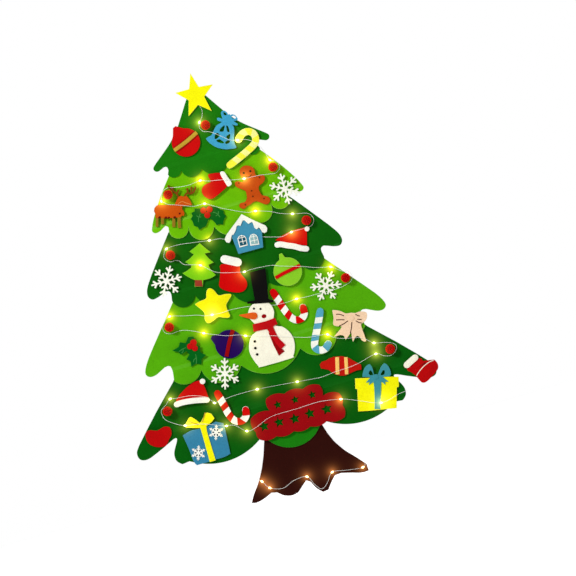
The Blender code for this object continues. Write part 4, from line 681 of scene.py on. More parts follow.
# The lamps' light as the felt near them shows it. On the pale greens it is a deeper yellow and stronger.
LAMP_LIGHT = (255, 232, 96)
TRUNK_LIGHT = (255, 160, 84)
PALE_GREEN_LIGHT = (255, 196, 44)
PALE_GREENS = ("light_green", "grass_green", "lime", "bauble_lime")
TRUNK_DYE = (46, 11, 6)
# The trunk's paler edge tone is a painted highlight on its cut edges.
TRUNK_PAINTED_EDGE_TONE = (84, 34, 18)

LAMP_GLOW = lamp_glow_group([route_point(row) for row in LIGHT_ROUTE_SHARES if is_lamp(row)])
FELT_FIBRES = felt_group()
PAINTED_EDGE_TONE = painted_edge_tone_group()
FELT = {
    name: (slot, felt(f"felt_{name}", dye, PAINTED_EDGE_TONES.get(name)))
    for name, (slot, dye) in FELT_DYES.items() if name not in PALE_GREENS
}
for name in PALE_GREENS:
    slot, dye = FELT_DYES[name]
    FELT[name] = (slot, felt(f"felt_{name}", dye, PAINTED_EDGE_TONES[name], PALE_GREEN_LIGHT, bloom=1.6))
trunk_felt = felt("felt_trunk_brown", TRUNK_DYE, TRUNK_PAINTED_EDGE_TONE, TRUNK_LIGHT, haze=0.14)
FELT["trunk_brown"] = ("felt_brown", trunk_felt)


def line(points, width, round_ends=True, steps=4):
    """The outline of a strip of felt along a smooth line."""
    return strip(smooth_path(points, steps), width, round_ends)


def make_cut_felt():
    """The felt that is cut to its node's own outline. The tree's own pieces get a wider rounded edge."""
    for node, felt_name in FELT_NODES.items():
        edge = HEM_EDGE if BODY_OF[node] == "tree" else FINE_EDGE if node == "bow" else SOFT_EDGE
        piece = copy_node(node, FELT[felt_name][1], node in FUSED_RELIEF, edge)


def cut_ornament(node, outlines, felt_name, pad, edge):
    """An ornament cut to outlines of its own, with the pad behind it that holds it off the tree."""
    low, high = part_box(node)
    slot, material = FELT[felt_name]
    back = low.y + ORNAMENT_FELT
    piece = cut_shape(f"{node}_felt", outlines, back, ORNAMENT_FELT, material, edge * MM)
    settle(piece, node, [node])
    pad_piece = cut_shape(f"{node}_pad", [disc(*pad, 24)], high.y, high.y - back, material, 0.15 * MM)
    settle(pad_piece, node)


def added_felt(name, node, outline, felt_name, thickness=2.6, edge=0.4):
    """A part of an ornament in felt of another dye, as deep as the ornament itself."""
    slot, material = FELT[felt_name]
    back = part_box(node)[0].y + ORNAMENT_FELT
    settle(cut_shape(name, [outline], back, thickness * MM, material, edge * MM), node)


def make_soft_star():
    """The soft star with rounded points and a pale rim, a painted highlight on its rounded edge."""
    middle = (-94.3, -493.0)
    points = (
        (-5, 39), (2, 41.5), (9.5, 35), (17, 20.5), (31, 19), (43, 16), (44, 11), (35.5, 3), (27, -6.5),
        (27.5, -20), (29, -31), (24.5, -35), (13.5, -32), (2, -27), (-10, -31.5), (-20.5, -34.5),
        (-26.5, -31.5), (-28.5, -21.5), (-25.5, -9), (-33, 4), (-40, 14), (-38, 17), (-26, 19.5),
        (-13, 21.5), (-9.5, 31),
    )
    outline = smooth([(middle[0] + x, middle[1] + z) for x, z in points], 4)
    cut_ornament("yellow_star", [outline], "warm_yellow", (*middle, 8.0), 1.1)


def make_bell():
    """The bell with its flower of loops and the star cut out of its middle."""
    outline = [
        (-5, -123), (3.5, -120.5), (8.5, -119.5), (15, -112), (22.5, -104), (30, -100), (36, -99),
        (38.5, -96.5), (31.5, -92), (30.5, -87.5), (33.5, -85.5), (39.5, -88.5), (42.5, -90.5),
        (42.5, -79.5), (45.5, -74), (51.5, -74), (56.5, -80), (58, -86), (61, -84.5), (62.5, -88),
        (66, -87), (72, -90.5), (75, -97), (75.5, -101.5), (70, -103.5), (66, -102.5), (69, -107.5),
        (72.5, -111.5), (70, -114.5), (64, -112), (60, -109), (62, -116), (60.5, -125), (58, -133),
        (55.5, -139), (54, -146), (53.5, -153.5), (55, -160.5), (51.5, -163), (41, -161.5), (30, -159),
        (18, -153.5), (7, -145), (-1.5, -134), (-5, -126.5),
    ]
    holes = [
        [(48.5, -77), (53, -79.5), (54.5, -84.5), (51.5, -85.5), (48.5, -82.5)],
        [(63.5, -91.5), (69.5, -91), (73, -96.5), (69.5, -98.5), (65, -96.5)],
        [(28, -116.5), (32, -111), (38, -107.5), (43.5, -106.5), (40, -114), (36.5, -119)],
        [(46.5, -107.5), (50, -111), (50.5, -117), (49.5, -124), (45, -121.5), (45.5, -114)],
        [(13, -128), (16.5, -121), (21, -118), (24.5, -119.5), (26, -124.5), (23, -128), (16, -131)],
        [(39.5, -132.5), (42.5, -130), (49.5, -128.5), (48, -135), (44, -139.5), (40.5, -137)],
        [(15, -134.5), (23, -133), (27, -137.5), (31, -142), (29, -145), (21.5, -141.5)],
        [(32.5, -144.5), (37.5, -141.5), (43.5, -141), (44.5, -146), (40, -148), (35, -148)],
    ]
    outlines = [smooth(outline, 3)] + [smooth(hole, 2)[::-1] for hole in holes]
    cut_ornament("blue_bell", outlines, "bell_blue", (48.5, -98.0, 5.5), 0.5)


def make_reindeer():
    """The reindeer: its body, its legs and antlers in felt of other tones, and its small trims."""
    body = [
        (-162.5, -242.5), (-157, -238.5), (-151.5, -237.5), (-131, -244), (-116.5, -248),
        (-109.5, -239.5), (-102.5, -232.5), (-95.5, -232), (-93, -235), (-84, -236), (-80.5, -244),
        (-78.5, -252), (-78, -259.5), (-88, -258), (-100, -256), (-102.5, -262), (-100.5, -266),
        (-100, -273), (-103, -278.5), (-106.5, -276), (-110.5, -279), (-120.5, -277), (-136.5, -273.5),
        (-155, -268), (-166, -264), (-164, -256), (-165, -248),
    ]
    cut_ornament("reindeer", [body], "deer_tan", (-137.0, -258.0, 8.0), 0.7)
    legs = (
        ((-161.5, -262.5), (-168.5, -284.5), 6.0), ((-150.5, -266.5), (-154.5, -282.5), 7.0),
        ((-126, -274), (-132, -296), 7.0), ((-114, -275.5), (-120, -301.5), 7.5),
    )
    for number, (top, foot, width) in enumerate(legs):
        added_felt(f"reindeer_leg_{number}", "reindeer", line([top, foot], width, False, 2), "deer_leg")
    antlers = (
        ((-103, -236), (-104.5, -225), (-110.5, -218.5), (-115, -211), (-117.5, -202.5)),
        ((-104.5, -225), (-98, -218.5)), ((-111.5, -217), (-110, -208.5)),
        ((-91, -238), (-82.5, -230.5), (-73, -233.5), (-65, -230.5), (-59.5, -223)),
        ((-80, -230.5), (-78.5, -221)), ((-72.5, -233.5), (-68.5, -220.5)),
    )
    for number, path in enumerate(antlers):
        thickness = 2.4 + 0.1 * (number % 3)
        added_felt(f"reindeer_antler_{number}", "reindeer", line(path, 4.4), "deer_antler", thickness)
    muzzle = line([(-107, -248), (-98, -245.5), (-89.5, -251.5), (-81, -257)], 1.6)
    glued("reindeer_muzzle", "reindeer", [muzzle], "deer_pale", 0.5, 0.2)
    spots = (
        (-157, -266, 3.2), (-143.5, -270.5, 3.2), (-137, -272.5, 3.0), (-124, -275.5, 3.2),
        (-110.5, -270, 2.4),
    )
    for number, (x, z, radius) in enumerate(spots):
        spot = disc(x, z, radius, 14, 0.8, 0.4)
        glued(f"reindeer_spot_{number}", "reindeer", [spot], "deer_dark", 0.8, 0.3)


def make_scarf():
    """The scarf's collar and its two hanging ends."""
    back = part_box("scarf")[1].y
    collar = [
        (-22, -557.5), (-25, -575), (-8.5, -575.5), (5.5, -577), (20.5, -575.5), (33, -572.5), (31, -557.5),
        (9.5, -559), (-6, -558.5),
    ]
    front_end = [
        (6, -573.5), (21, -572.5), (23, -589.5), (26.5, -605), (37, -623), (24.5, -629.5), (17, -615.5),
        (11.5, -596.5),
    ]
    rear_end = [
        (7.5, -585), (12, -590), (19, -614), (24.5, -627.5), (29, -632), (30.5, -636.5), (15.5, -642.5),
        (10.5, -615),
    ]
    pieces = (
        ("scarf_collar", "scarf_red", 2.0, collar),
        ("scarf_end_0", "scarf_red", 1.8, front_end),
        ("scarf_end_1", "dark_red", 1.1, rear_end),
    )
    for name, felt_name, thickness, outline in pieces:
        slot, material = FELT[felt_name]
        piece = cut_shape(name, [outline], back, thickness * MM, material, FINE_EDGE)
        settle(piece, "scarf", ["scarf"] if name == "scarf_collar" else ())


def trim_baubles():
    """The felt bands across the baubles."""
    band = line([(-83, -129), (-52, -118), (-22, -104)], 9, False)
    glued("red_bauble_band", "red_bauble", [band], "gold", 1.6)
    for number, offset in enumerate((-5.0, 5.0)):
        path = [(x - offset * 0.4, z + offset) for x, z in ((-81, -129), (-52, -118), (-24, -105))]
        glued(f"red_bauble_edge_{number}", "red_bauble", [line(path, 1.6)], "dark_red", 1.9)
    band = line([(57.5, -471), (78, -466), (96, -463), (119, -459)], 8, False)
    glued("green_bauble_band", "green_bauble", [band], "mitten_red", 1.8)
    band = line([(-68, -557), (-84, -582), (-99, -611)], 9, False)
    glued("purple_bauble_band", "purple_bauble", [band], "dark_red", 1.8)


def trim_clothes():
    """The white cuffs, brims and bobbles of the mitten, the stocking, the boot and the hats."""
    cuff = [
        (3, -207), (8, -205), (13, -208), (17, -220), (22, -236), (18, -241), (11, -241), (7, -228),
        (4, -217),
    ]
    glued("mitten_cuff", "red_mitten", [smooth(cuff)], "snow", 2.0)
    glued("stocking_cuff", "stocking", [line([(-42, -398), (-28, -406), (-15, -413)], 19)], "snow", 2.0)
    glued("boot_cuff", "boot", [line([(288, -743.5), (299, -738), (311, -732.5)], 14.5)], "cream", 2.0)
    piping = [(303, -773), (309.5, -766.5), (324, -757), (337.5, -751.5), (349, -750)]
    glued("boot_piping", "boot", [line(piping, 1.8)], "cream", 0.9)
    brim = [(82, -400), (90, -401), (104, -408), (118, -414), (131, -422), (143, -427)]
    glued("hat_brim_1", "pointed_hat_1", [line(brim, 13.0)], "snow", 2.0)
    glued("hat_bobble_1", "pointed_hat_1", [disc(157, -384, 5.6)], "snow", 2.0)
    brim = [(-238, -684), (-223, -683.5), (-198, -686.5), (-169, -693)]
    glued("hat_brim_2", "pointed_hat_2", [line(brim, 12.8)], "snow", 2.0)
    glued("hat_bobble_2", "pointed_hat_2", [disc(-167, -650, 6.4)], "snow", 2.0)


def trim_figures():
    """The gingerbread figure's face, buttons and dark dots at its hands and feet, and the snowman's face and
    buttons.
    """
    for number, (x, z) in enumerate(((54.6, -222.5), (70, -222.5))):
        glued(f"gingerbread_eye_{number}", "gingerbread_figure", [disc(x, z, 2.4, 14)], "black", 0.9, 0.3)
    smile = [(56, -230), (60, -233.5), (65, -234), (70, -231)]
    glued("gingerbread_smile", "gingerbread_figure", [line(smile, 1.5)], "black", 0.7, 0.3)
    dots = ((60.5, -266), (59.5, -279), (82.5, -290.5), (37.5, -241), (86, -242), (38, -292.5))
    for number, (x, z) in enumerate(dots):
        dot = disc(x, z, 1.8, 14)
        glued(f"gingerbread_dot_{number}", "gingerbread_figure", [dot], "ginger_dark", 0.8, 0.3)
    for number, (x, z) in enumerate(((-9, -524), (5, -529))):
        glued(f"snowman_eye_{number}", "snowman", [disc(x, z, 2.5, 14)], "black", 1.0, 0.4)
    nose = [
        (-46, -529), (-30, -530), (-12, -532), (-6, -537), (-7, -545), (-14, -548), (-22, -545),
        (-34, -538),
    ]
    glued("snowman_nose", "snowman", [smooth(nose, 3)], "carrot", 2.0)
    glued("snowman_mouth", "snowman", [disc(8, -547, 5.4, 20, 0.85)], "dark_red", 0.9, 0.3)
    for number, (x, z) in enumerate(((-28, -596), (-31, -611), (-31, -626))):
        glued(f"snowman_button_{number}", "snowman", [disc(x, z, 3.0, 16)], "black", 1.2, 0.4)


def trim_greenery():
    """The holly's berries and veins, and the little tree's own trunk."""
    for number, (x, z, radius) in enumerate(((-57, -278.5, 7.0), (-43, -280, 7.2), (-51.3, -291, 7.0))):
        glued(f"holly_berry_{number}", "holly_sprig_1", [disc(x, z, radius, 24)], "berry_red", 2.4, 1.0)
    veins = (((-66, -284), (-72, -292), (-75, -300)), ((-75, -286), (-71, -290), (-66, -291)),
             ((-37, -288), (-29, -294), (-25, -303)), ((-25, -290), (-27, -296), (-33, -298)))
    for number, path in enumerate(veins):
        glued(f"holly_vein_{number}", "holly_sprig_1", [line(path, 1.4)], "vein_green", 0.5, 0.2)
    for number, (x, z, radius) in enumerate(((-162, -560, 7.6), (-172, -566, 6.8), (-162.5, -573, 6.8))):
        glued(f"low_holly_berry_{number}", "holly_sprig_2", [disc(x, z, radius, 24)], "berry_red", 2.2, 0.9)
    veins = (((-182, -566), (-190, -567), (-199, -570)), ((-189, -567), (-190, -572), (-194, -575)),
             ((-165, -587), (-166, -597), (-169, -607)), ((-166, -595), (-171, -597), (-175, -602)))
    for number, path in enumerate(veins):
        glued(f"low_holly_vein_{number}", "holly_sprig_2", [line(path, 1.4)], "vein_green", 0.5, 0.2)
    trunk = [(-119.5, -424.5), (-104.5, -429), (-106.5, -443.5), (-123.5, -438.5)]
    glued("little_tree_trunk", "little_tree", [trunk], "bark", 0.8)


def trim_house():
    """The dark window and the lit window, each with its white frame."""
    pane_across, pane_up, half_bar = 0.80, 0.84, 10.5
    dark = [
        (-1.5, -382), (17.5, -382.5), (18.8, -365), (16.5, -359.5), (11, -356.3), (4, -356.6), (-1, -361.8),
    ]
    pale = [(23, -385), (43.5, -388), (44.6, -371), (43, -365), (37.5, -360.8), (30, -361.4), (25, -368)]
    for name, felt_name, outline in (("window_dark", "pane_blue", dark), ("window_pale", "pane_pale", pale)):
        mid_x = sum(x for x, _ in outline) / len(outline)
        mid_z = sum(z for _, z in outline) / len(outline)
        pane = [(mid_x + (x - mid_x) * pane_across, mid_z + (z - mid_z) * pane_up) for x, z in outline]
        glued(f"{name}_frame", "snow_house", [outline], "snow", 1.8)
        glued(f"{name}_pane", "snow_house", [pane], felt_name, 2.0, 0.15)
        bars = [line([(mid_x - 0.6, mid_z - half_bar), (mid_x + 0.9, mid_z + half_bar)], 1.5, False)]
        for rise in (-4, 5):
            bars.append(line([(mid_x - 8, mid_z + rise), (mid_x + 8.4, mid_z - 1 + rise)], 1.5, False))
        for k, bar in enumerate(bars):
            glued(f"{name}_bar_{k}", "snow_house", [bar], "snow", 2.3 + 0.05 * k, 0.15)


# How far the gift's snowflakes are turned, in radians.
FLAKE_TURN = 0.2


def flake(x, z, radius):
    """A small six-armed snowflake with side twigs. The shares give an arm's corners, out and across."""
    arm_shares = (
        (0.2, 0.085), (0.36, 0.085), (0.5, 0.27), (0.62, 0.2), (0.55, 0.085), (0.68, 0.085), (0.78, 0.21),
        (0.87, 0.15), (0.82, 0.07), (1.0, 0.06),
    )
    corners = [(a, -b) for a, b in arm_shares] + [(a, b) for a, b in reversed(arm_shares)]
    outline = []
    for k in range(6):
        angle = math.tau * k / 6 + FLAKE_TURN
        c, s = math.cos(angle), math.sin(angle)
        outline += [(x + radius * (a * c - b * s), z + radius * (a * s + b * c)) for a, b in corners]
    return outline


def trim_gifts():
    """The snowflakes and dots on the blue gift, painted fold shade on the yellow bow's loops, the knots of
    both ribbons and the sweet's gold bands.
    """
    dot_ring = 6.6
    for number, (x, z, radius) in enumerate(((-221, -803, 17), (-169.5, -769.5, 17.5))):
        glued(f"gift_flake_{number}", "blue_gift", [flake(x, z, radius)], "snow", 1.1, 0.1)
        for k in range(6):
            angle = math.tau * (k + 0.5) / 6 + FLAKE_TURN
            dot = disc(x + dot_ring * math.cos(angle), z + dot_ring * math.sin(angle), 1.7, 12)
            glued(f"gift_dot_{number}_{k}", "blue_gift", [dot], "gift_dark", 0.6, 0.15)
    # Darker gold strips painted on the yellow bow's loops as the shade in their folds.
    loops = (((-203, -741), (-213, -735), (-222, -728)), ((-192, -737), (-186, -728), (-181, -720)))
    for number, path in enumerate(loops):
        glued(f"yellow_loop_painted_shade_{number}", "yellow_ribbon", [line(path, 2.4)], "gold", 0.4, 0.15)
    glued("yellow_knot", "yellow_ribbon", [disc(-197, -742, 5.5, 20, 0.85)], "bright_yellow", 1.2, 0.5)
    glued("blue_knot", "blue_ribbon", [disc(213, -749, 6.5, 20, 0.85)], "ribbon_blue", 1.2, 0.5)
    bands = (((141.5, -682.5), (131.5, -720.5), 8.6), ((160.5, -688), (151.5, -726), 7.8))
    for number, (top, foot, width) in enumerate(bands):
        glued(f"sweet_band_{number}", "wrapped_sweet", [line([foot, top], width, False)], "band_gold", 2.0)


def trim_bow():
    """Painted shade in the folds of the peach bow, as dark strips of felt, and the bow's knot."""
    # Dark felt strips painted where the bow's folds and slits lie in shade.
    folds = (
        ((167, -588.5), (175, -591.5), (182, -596.5)), ((163.5, -601), (172, -603), (180.5, -605.5)),
        ((166, -616), (177, -614), (187, -610.5)), ((209, -601), (212, -604.5), (216, -607)),
        ((210, -613), (214, -614.5), (218, -616)), ((205.5, -615.5), (211, -621), (217, -624)),
        ((195.5, -616), (191, -628), (185.5, -638)),
    )
    for number, path in enumerate(folds):
        glued(f"bow_fold_painted_shade_{number}", "bow", [line(path, 2.0)], "peach_fold_shade", 0.4, 0.15)
    glued("bow_knot", "bow", [disc(196, -607, 7.5, 20, 0.8)], "peach", 1.2, 0.5)


def striped_cane(node, path, width, stripe, felts):
    """A candy cane whose stripes are pieces of felt side by side."""
    straight, slanted, slope = 0.96, 0.28, 0.29
    piece = copy_node(node, FELT[felts[0]][1])
    piece.data.materials.append(FELT[felts[1]][1])
    curve = [Vector(place(p)) for p in smooth_path(path, 6)]
    lengths = [0.0]
    for a, b in zip(curve, curve[1:]):
        lengths.append(lengths[-1] + (b - a).length)
    count = max(3, round(lengths[-1] / (stripe * MM)))
    step = lengths[-1] / count
    only(piece)
    bpy.ops.object.mode_set(mode="EDIT")
    for k in range(1, count):
        i = max(j for j, length in enumerate(lengths) if length <= k * step)
        i = min(i, len(curve) - 2)
        share = (k * step - lengths[i]) / (lengths[i + 1] - lengths[i])
        here = curve[i].lerp(curve[i + 1], share)
        along = (curve[i + 1] - curve[i]).normalized()
        slant = Vector((
            along.x * straight - along.y * slanted, along.x * slanted + along.y * straight))
        bpy.ops.mesh.select_all(action="DESELECT")
        mesh = bmesh.from_edit_mesh(piece.data)
        for face in mesh.faces:
            near = min(((v.co.x - here.x) ** 2 + (v.co.z - here.y) ** 2) for v in face.verts)
            face.select_set(near < (width * MM) ** 2 or abs(face.normal.y) > 0.9)
        bmesh.update_edit_mesh(piece.data)
        bpy.ops.mesh.bisect(plane_co=(here.x, 0, here.y), plane_no=(slant.x, 0, slant.y))
    bpy.ops.object.mode_set(mode="OBJECT")
    for face in piece.data.polygons:
        middle = Vector((face.center.x, face.center.z))
        best = min(range(len(curve)), key=lambda j: (curve[j] - middle).length)
        a, b = curve[max(best - 1, 0)], curve[min(best + 1, len(curve) - 1)]
        along = (b - a).normalized()
        side = Vector((-along.y, along.x))
        offset = middle - curve[best]
        where = lengths[best] + offset.dot(along) + offset.dot(side) * slope
        face.material_index = int(where / step) % 2 if where > 0 else 0
    return piece


def make_canes():
    """The four candy canes, striped along their length."""
    canes = {
        "yellow_cane": (("lemon", "lemon_pale"), 13.0, [
            (29.5, -196), (62.5, -183), (92, -168.5), (101.5, -158.5), (101.5, -144), (91, -134.5),
            (77, -135.5), (64.5, -146),
        ]),
        "red_cane_1": (("christmas_red", "snow"), 13.5, [
            (43.5, -500.5), (52.5, -532.5), (62.5, -560.5), (73.5, -574.5), (87.5, -576.5), (97.5, -567.5),
            (98.5, -552.5),
        ]),
        "blue_cane": (("sky_blue", "snow"), 13.0, [
            (133.5, -572), (119.5, -601), (103.5, -632), (99.5, -647), (107.5, -656), (120.5, -657),
            (130.5, -648),
        ]),
        "red_cane_2": (("christmas_red", "snow"), 13.0, [
            (-142, -686), (-136, -711), (-130, -741), (-120, -757), (-106, -761), (-94, -753), (-91, -739),
        ]),
    }
    for node, (felts, stripe, path) in canes.items():
        striped_cane(node, path, 10, stripe, felts)


def darken_roots(material):
    """Paints shade on the yarn towards the middle of the ball, where less light comes in, and paints its tips
    lighter as a highlight.
    """
    tree = material.node_tree
    shader = tree.nodes["Principled BSDF"]
    dyed = shader.inputs["Base Color"].links[0].from_socket
    tip = tree.nodes.new("ShaderNodeAttribute")
    tip.attribute_name = "tip"
    shade = tree.nodes.new("ShaderNodeMapRange")
    shade.inputs["To Min"].default_value = 0.42
    shade.inputs["To Max"].default_value = 1.45
    tree.links.new(tip.outputs["Fac"], shade.inputs["Value"])
    scale = tree.nodes.new("ShaderNodeVectorMath")
    scale.operation = "SCALE"
    tree.links.new(dyed, scale.inputs[0])
    tree.links.new(shade.outputs["Result"], scale.inputs["Scale"])
    tree.links.new(scale.outputs["Vector"], shader.inputs["Base Color"])
    return material


def yarn_end(start, length):
    """One end of yarn that stands on the ball's core, with a slight bend."""
    bpy.ops.object.select_all(action="DESELECT")
    bpy.ops.mesh.primitive_cone_add(
        vertices=5, radius1=0.95 * MM, radius2=0.5 * MM, depth=length * MM, location=(0, 0, start * MM))
    strand = bpy.context.view_layer.objects.active
    bpy.ops.object.transform_apply(location=True, rotation=True, scale=True)
    bpy.ops.object.mode_set(mode="EDIT")
    bpy.ops.mesh.select_all(action="SELECT")
    bpy.ops.mesh.bisect(plane_co=(0, 0, (start + 0.4) * MM), plane_no=(0, 0, 1))
    bpy.ops.transform.translate(value=(0.35 * MM, 0, 0))
    bpy.ops.object.mode_set(mode="OBJECT")
    return strand


def make_pompoms():
    """The balls of cut yarn, one modelled and the others copied. The sizes are in millimetres."""
    core, fringe, ends, golden_angle, stray = 8.4, 3.2, 330, 2.399963, 0.12
    slot, yarn = "yarn_red", darken_roots(felt("pompom_yarn", (226, 6, 14)))
    strand = yarn_end(8.8, 5.0)
    bpy.ops.object.select_all(action="DESELECT")
    bpy.ops.mesh.primitive_ico_sphere_add(subdivisions=3, radius=core * MM)
    ball = bpy.context.view_layer.objects.active
    ball.name = "pompom_ball"
    whole = bmesh.new()
    whole.from_mesh(ball.data)
    tips = whole.verts.layers.float.new("tip")
    rng = random.Random(7)
    for i in range(ends):
        height = 1 - 2 * (i + 0.5) / ends
        angle = i * golden_angle
        ring = math.sqrt(1 - height * height)
        way = Vector((ring * math.cos(angle), ring * math.sin(angle), height))
        way += Vector([rng.uniform(-stray, stray) for _ in range(3)])
        outwards = way.to_track_quat("Z", "Y").to_matrix().to_4x4()
        turn = outwards @ Matrix.Rotation(rng.uniform(0, math.tau), 4, "Z")
        before = len(whole.verts)
        whole.from_mesh(strand.data)
        whole.verts.ensure_lookup_table()
        reach = rng.uniform(0.9, 1.02)
        for corner in whole.verts[before:]:
            corner[tips] = max(corner.co.z / MM - core, 0.0) / fringe
            corner.co = turn @ (corner.co * reach)
    whole.to_mesh(ball.data)
    whole.free()
    bpy.data.objects.remove(strand)
    ball.data.materials.clear()
    ball.data.materials.append(yarn)
    for number in range(1, 10):
        node = f"pompom_{number}"
        low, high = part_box(node)
        piece = bpy.data.objects.new(f"{node}_yarn", ball.data.copy())
        bpy.context.collection.objects.link(piece)
        turn = Matrix.Rotation(number * 1.3, 4, "Y") @ Matrix.Rotation(number * 0.7, 4, "X")
        piece.data.transform(Matrix.Translation((low + high) / 2) @ turn)
        only(piece)
        bpy.ops.object.shade_smooth_by_angle(angle=math.radians(60))
        settle(piece, node, [node])
    bpy.data.objects.remove(ball)


def tube(name, path, thickness, material, cyclic=False, resolution=0):
    """A mesh tube along a path."""
    curve = bpy.data.curves.new(name, "CURVE")
    curve.dimensions = "3D"
    curve.bevel_depth = thickness / 2
    curve.bevel_resolution = resolution
    curve.use_fill_caps = not cyclic
    spline = curve.splines.new("POLY")
    spline.points.add(len(path) - 1)
    spline.use_cyclic_u = cyclic
    for target, point in zip(spline.points, path):
        target.co = (*point, 1)
    piece = bpy.data.objects.new(name, curve)
    bpy.context.collection.objects.link(piece)
    only(piece)
    bpy.ops.object.convert(target="MESH")
    piece = bpy.context.view_layer.objects.active
    piece.data.materials.clear()
    piece.data.materials.append(material)
    bpy.ops.object.shade_smooth_by_angle(angle=math.radians(60))
    return piece


def twisted(path, radius, pitch, phase):
    """A strand that winds round a path."""
    strand, travelled = [], 0.0
    for i, point in enumerate(path):
        ahead = (path[min(i + 1, len(path) - 1)] - path[max(i - 1, 0)]).normalized()
        if i:
            travelled += (point - path[i - 1]).length
        side = ahead.cross(Vector((0, 1, 0)) if abs(ahead.y) < 0.9 else Vector((1, 0, 0))).normalized()
        other = ahead.cross(side)
        angle = math.tau * travelled / pitch + phase
        strand.append(point + radius * (math.cos(angle) * side + math.sin(angle) * other))
    return strand


def make_light_string():
    """The two fine twisted wires from the battery case to the star, and their lamps."""
    winding, twist, thickness = 0.26 * MM, 9 * MM, 0.55 * MM
    route = [route_point(row) for row in LIGHT_ROUTE_SHARES]
    path = [Vector(p) for p in smooth_path(route, 12)]
    wire = plain("silver_wire", (255, 255, 250), 0.5, 0.0, 1500.0, 0.02)
    for k in (0, 1):
        strand = tube(f"light_wire_{k}", twisted(path, winding, twist, math.pi * k), thickness, wire)
        settle(strand, "light_string", ["light_string"] if k == 0 else ())
    drop = lamp_drop(lit_lamp("lamp_light", (255, 240, 150), 5.0))
    for i, row in enumerate(LIGHT_ROUTE_SHARES):
        if is_lamp(row):
            ahead = Vector(route[i + 1]) - Vector(route[i - 1])
            turn = ahead.to_track_quat("Z", "Y").to_matrix().to_4x4()
            lamp = bpy.data.objects.new(f"lamp_{i}", drop.data.copy())
            bpy.context.collection.objects.link(lamp)
            lamp.data.transform(Matrix.Translation(route[i]) @ turn)
            settle(lamp, "light_string")
    bpy.data.objects.remove(drop)


def face_order(face):
    """A number that puts the faces of a lamp in the same order each run: by height, then round it."""
    middle = face.calc_center_median() / MM
    return 100 * round(middle.z, 2) + math.atan2(middle.y, middle.x)


def lamp_drop(material):
    """A clear drop, drawn in to the wires at both ends."""
    profile = (
        (0.3, -3.4), (0.8, -3.0), (1.5, -2.3), (2.05, -1.2), (2.2, 0.0), (2.05, 1.2), (1.5, 2.3), (0.8, 3.0),
        (0.3, 3.4),
    )
    mesh = bpy.data.meshes.new("lamp_drop")
    shape = bmesh.new()
    corners = [shape.verts.new((r * MM, 0, z * MM)) for r, z in profile]
    edges = [shape.edges.new(pair) for pair in zip(corners, corners[1:])]
    bmesh.ops.spin(
        shape, geom=corners + edges, cent=(0, 0, 0), axis=(0, 0, 1), angle=math.tau, steps=14, use_merge=True)
    bmesh.ops.remove_doubles(shape, verts=shape.verts[:], dist=0.01 * MM)
    bmesh.ops.holes_fill(shape, edges=shape.edges[:])
    bmesh.ops.recalc_face_normals(shape, faces=shape.faces[:])
    shape.faces.sort(key=face_order)
    shape.to_mesh(mesh)
    shape.free()
    piece = bpy.data.objects.new("lamp_drop", mesh)
    bpy.context.collection.objects.link(piece)
    mesh.materials.append(material)
    only(piece)
    bpy.ops.object.shade_smooth_by_angle(angle=math.radians(60))
    return piece


def make_hanging_loop():
    """The twisted cord loop behind the top, of two plies."""
    points, ply_thickness, winding, twist = 96, 1.0 * MM, 0.5 * MM, 5 * MM
    low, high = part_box("hanging_loop")
    middle = (low + high) / 2
    across_half = (high.x - low.x) / 2 - ply_thickness
    up_half = (high.z - low.z) / 2 - ply_thickness
    ring = [
        Vector((middle.x + across_half * math.sin(a), middle.y, middle.z + up_half * math.cos(a)))
        for a in (math.tau * i / points for i in range(points))
    ]
    cord = felt("loop_cord", (236, 228, 208))
    turns = round(sum((a - b).length for a, b in zip(ring, ring[1:] + ring[:1])) / twist)
    forwards = Vector((0, 1, 0))
    for k in (0, 1):
        ply = []
        for i, point in enumerate(ring):
            ahead = (ring[(i + 1) % points] - ring[i - 1]).normalized()
            side = ahead.cross(forwards).normalized()
            angle = math.tau * turns * i / points + math.pi * k
            ply.append(point + winding * (math.cos(angle) * side + math.sin(angle) * forwards))
        piece = tube(f"loop_ply_{k}", ply, ply_thickness, cord, cyclic=True, resolution=2)
        settle(piece, "hanging_loop", ["hanging_loop"] if k == 0 else ())


def make_case():
    """The battery case with its lid, cells and switch."""
    shell = plain("case_black", (34, 34, 36), 0.42, 0.0, 1400.0, 0.04)
    steel = plain("cell_steel", (196, 196, 194), 0.28, 1.0, 500.0, 0.02)
    grey = plain("switch_grey", (168, 168, 166), 0.45, 0.0, 1400.0, 0.04)
    materials = {
        "battery_case": shell, "battery_lid": shell, "coin_cell_1": steel, "coin_cell_2": steel,
        "power_switch": grey,
    }
    for node, material in materials.items():
        copy_node(node, material, edge=FINE_EDGE)
    low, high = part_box("battery_lid")
    pitch, thickness, sunk = 3 * MM, 1.2 * MM, 0.1 * MM
    for k in range(5):
        x, y = (low.x + high.x) / 2 + (k - 2) * pitch, high.y - sunk
        path = [Vector((x, y, high.z - 4 * MM)), Vector((x, y, high.z - 12 * MM))]
        ridge = tube(f"lid_ridge_{k}", path, thickness, shell, resolution=2)
        settle(ridge, "battery_lid")
    low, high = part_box("power_switch")
    pitch, thickness, inset = 1.6 * MM, 0.6 * MM, 0.8 * MM
    for k in range(3):
        x = (low.x + high.x) / 2 + (k - 1) * pitch
        path = [Vector((x, low.y + inset, low.z)), Vector((x, high.y - inset, low.z))]
        ridge = tube(f"switch_ridge_{k}", path, thickness, grey, resolution=2)
        settle(ridge, "power_switch")


def white_to_camera(tree, shade, strength):
    """Mixes white in for the camera and for what glossy and clear surfaces show."""
    rays = tree.nodes.new("ShaderNodeLightPath").outputs
    seen = math_node(tree, "MAXIMUM", rays["Is Camera Ray"], rays["Is Glossy Ray"])
    seen = math_node(tree, "MAXIMUM", seen, rays["Is Transmission Ray"])
    return math_node(tree, "ADD", math_node(tree, "MULTIPLY", seen, strength - shade), shade)


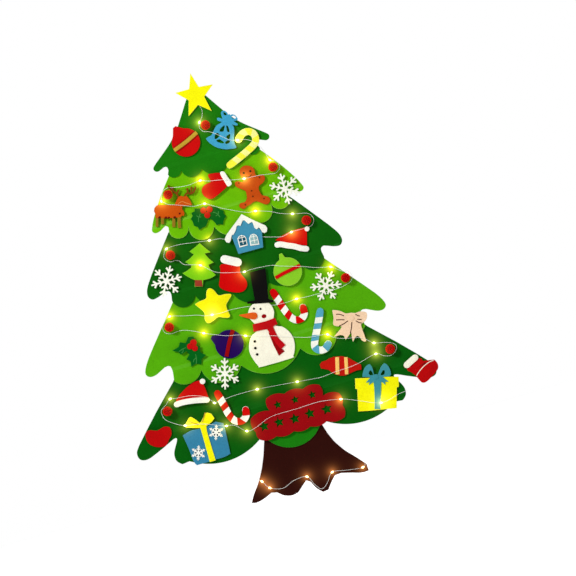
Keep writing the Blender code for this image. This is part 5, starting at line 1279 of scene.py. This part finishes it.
def make_stage():
    """A plain pale floor below the tree, and the white behind it."""
    low, high = CAD_BOX
    width, below, daylight = 6.0, 0.15, 0.28
    bpy.ops.object.select_all(action="DESELECT")
    bpy.ops.mesh.primitive_plane_add(size=width, location=((low.x + high.x) / 2, 0, low.z - below))
    floor = bpy.context.view_layer.objects.active
    floor.name = "floor"
    material, tree, shader, _ = new_material("pale_floor")
    shader.inputs["Base Color"].default_value = (0.85, 0.85, 0.84, 1)
    shader.inputs["Roughness"].default_value = 0.9
    shader.inputs["Emission Color"].default_value = (1, 1, 1, 1)
    tree.links.new(white_to_camera(tree, 0.0, 0.5), shader.inputs["Emission Strength"])
    floor.data.materials.append(material)
    world = bpy.data.worlds.new("studio")
    bpy.context.scene.world = world
    world.use_nodes = True
    tree = world.node_tree
    tree.nodes["Background"].inputs["Color"].default_value = (1, 1, 1, 1)
    tree.links.new(white_to_camera(tree, daylight, 1.0), tree.nodes["Background"].inputs["Strength"])


def make_light(name, spot, size, power):
    """A large soft lamp that points at the tree's middle."""
    middle = Vector((0, 0, -0.45))
    lamp = bpy.data.lights.new(name, "AREA")
    lamp.size = size
    lamp.energy = power
    light = bpy.data.objects.new(name, lamp)
    bpy.context.collection.objects.link(light)
    light.location = spot
    light.rotation_euler = (middle - Vector(spot)).to_track_quat("-Z", "Y").to_euler()


def make_camera():
    """Square to the tree, and turned so that the tree leans as in the photograph."""
    lean, distance, shown, sensor = 0.2828, 5.0, 1.309, 36.0
    target = Vector((0.0812, 0, -0.4558))
    view, up = Vector((0, 1, 0)), Vector((math.sin(lean), 0, math.cos(lean)))
    across = view.cross(up)
    data = bpy.data.cameras.new("camera")
    data.sensor_width = sensor
    data.lens = sensor * distance / shown
    camera = bpy.data.objects.new("camera", data)
    bpy.context.collection.objects.link(camera)
    turn = Matrix((across, up, -view)).transposed().to_4x4()
    camera.matrix_world = Matrix.Translation(target - view * distance) @ turn
    bpy.context.scene.camera = camera


make_camera()
make_stage()
make_light("key", (-2.3, -3.2, 2.1), size=0.7, power=142)
make_light("fill", (1.8, -2.6, -0.2), size=2.0, power=8)
make_light("back", (0.8, 2.4, 1.2), size=1.6, power=48)
bpy.context.scene.view_settings.view_transform = "Standard"

make_cut_felt()
make_soft_star()
make_bell()
make_reindeer()
make_scarf()
make_canes()
trim_baubles()
trim_clothes()
trim_figures()
trim_greenery()
trim_house()
trim_gifts()
trim_bow()
make_pompoms()
make_light_string()
make_hanging_loop()
make_case()
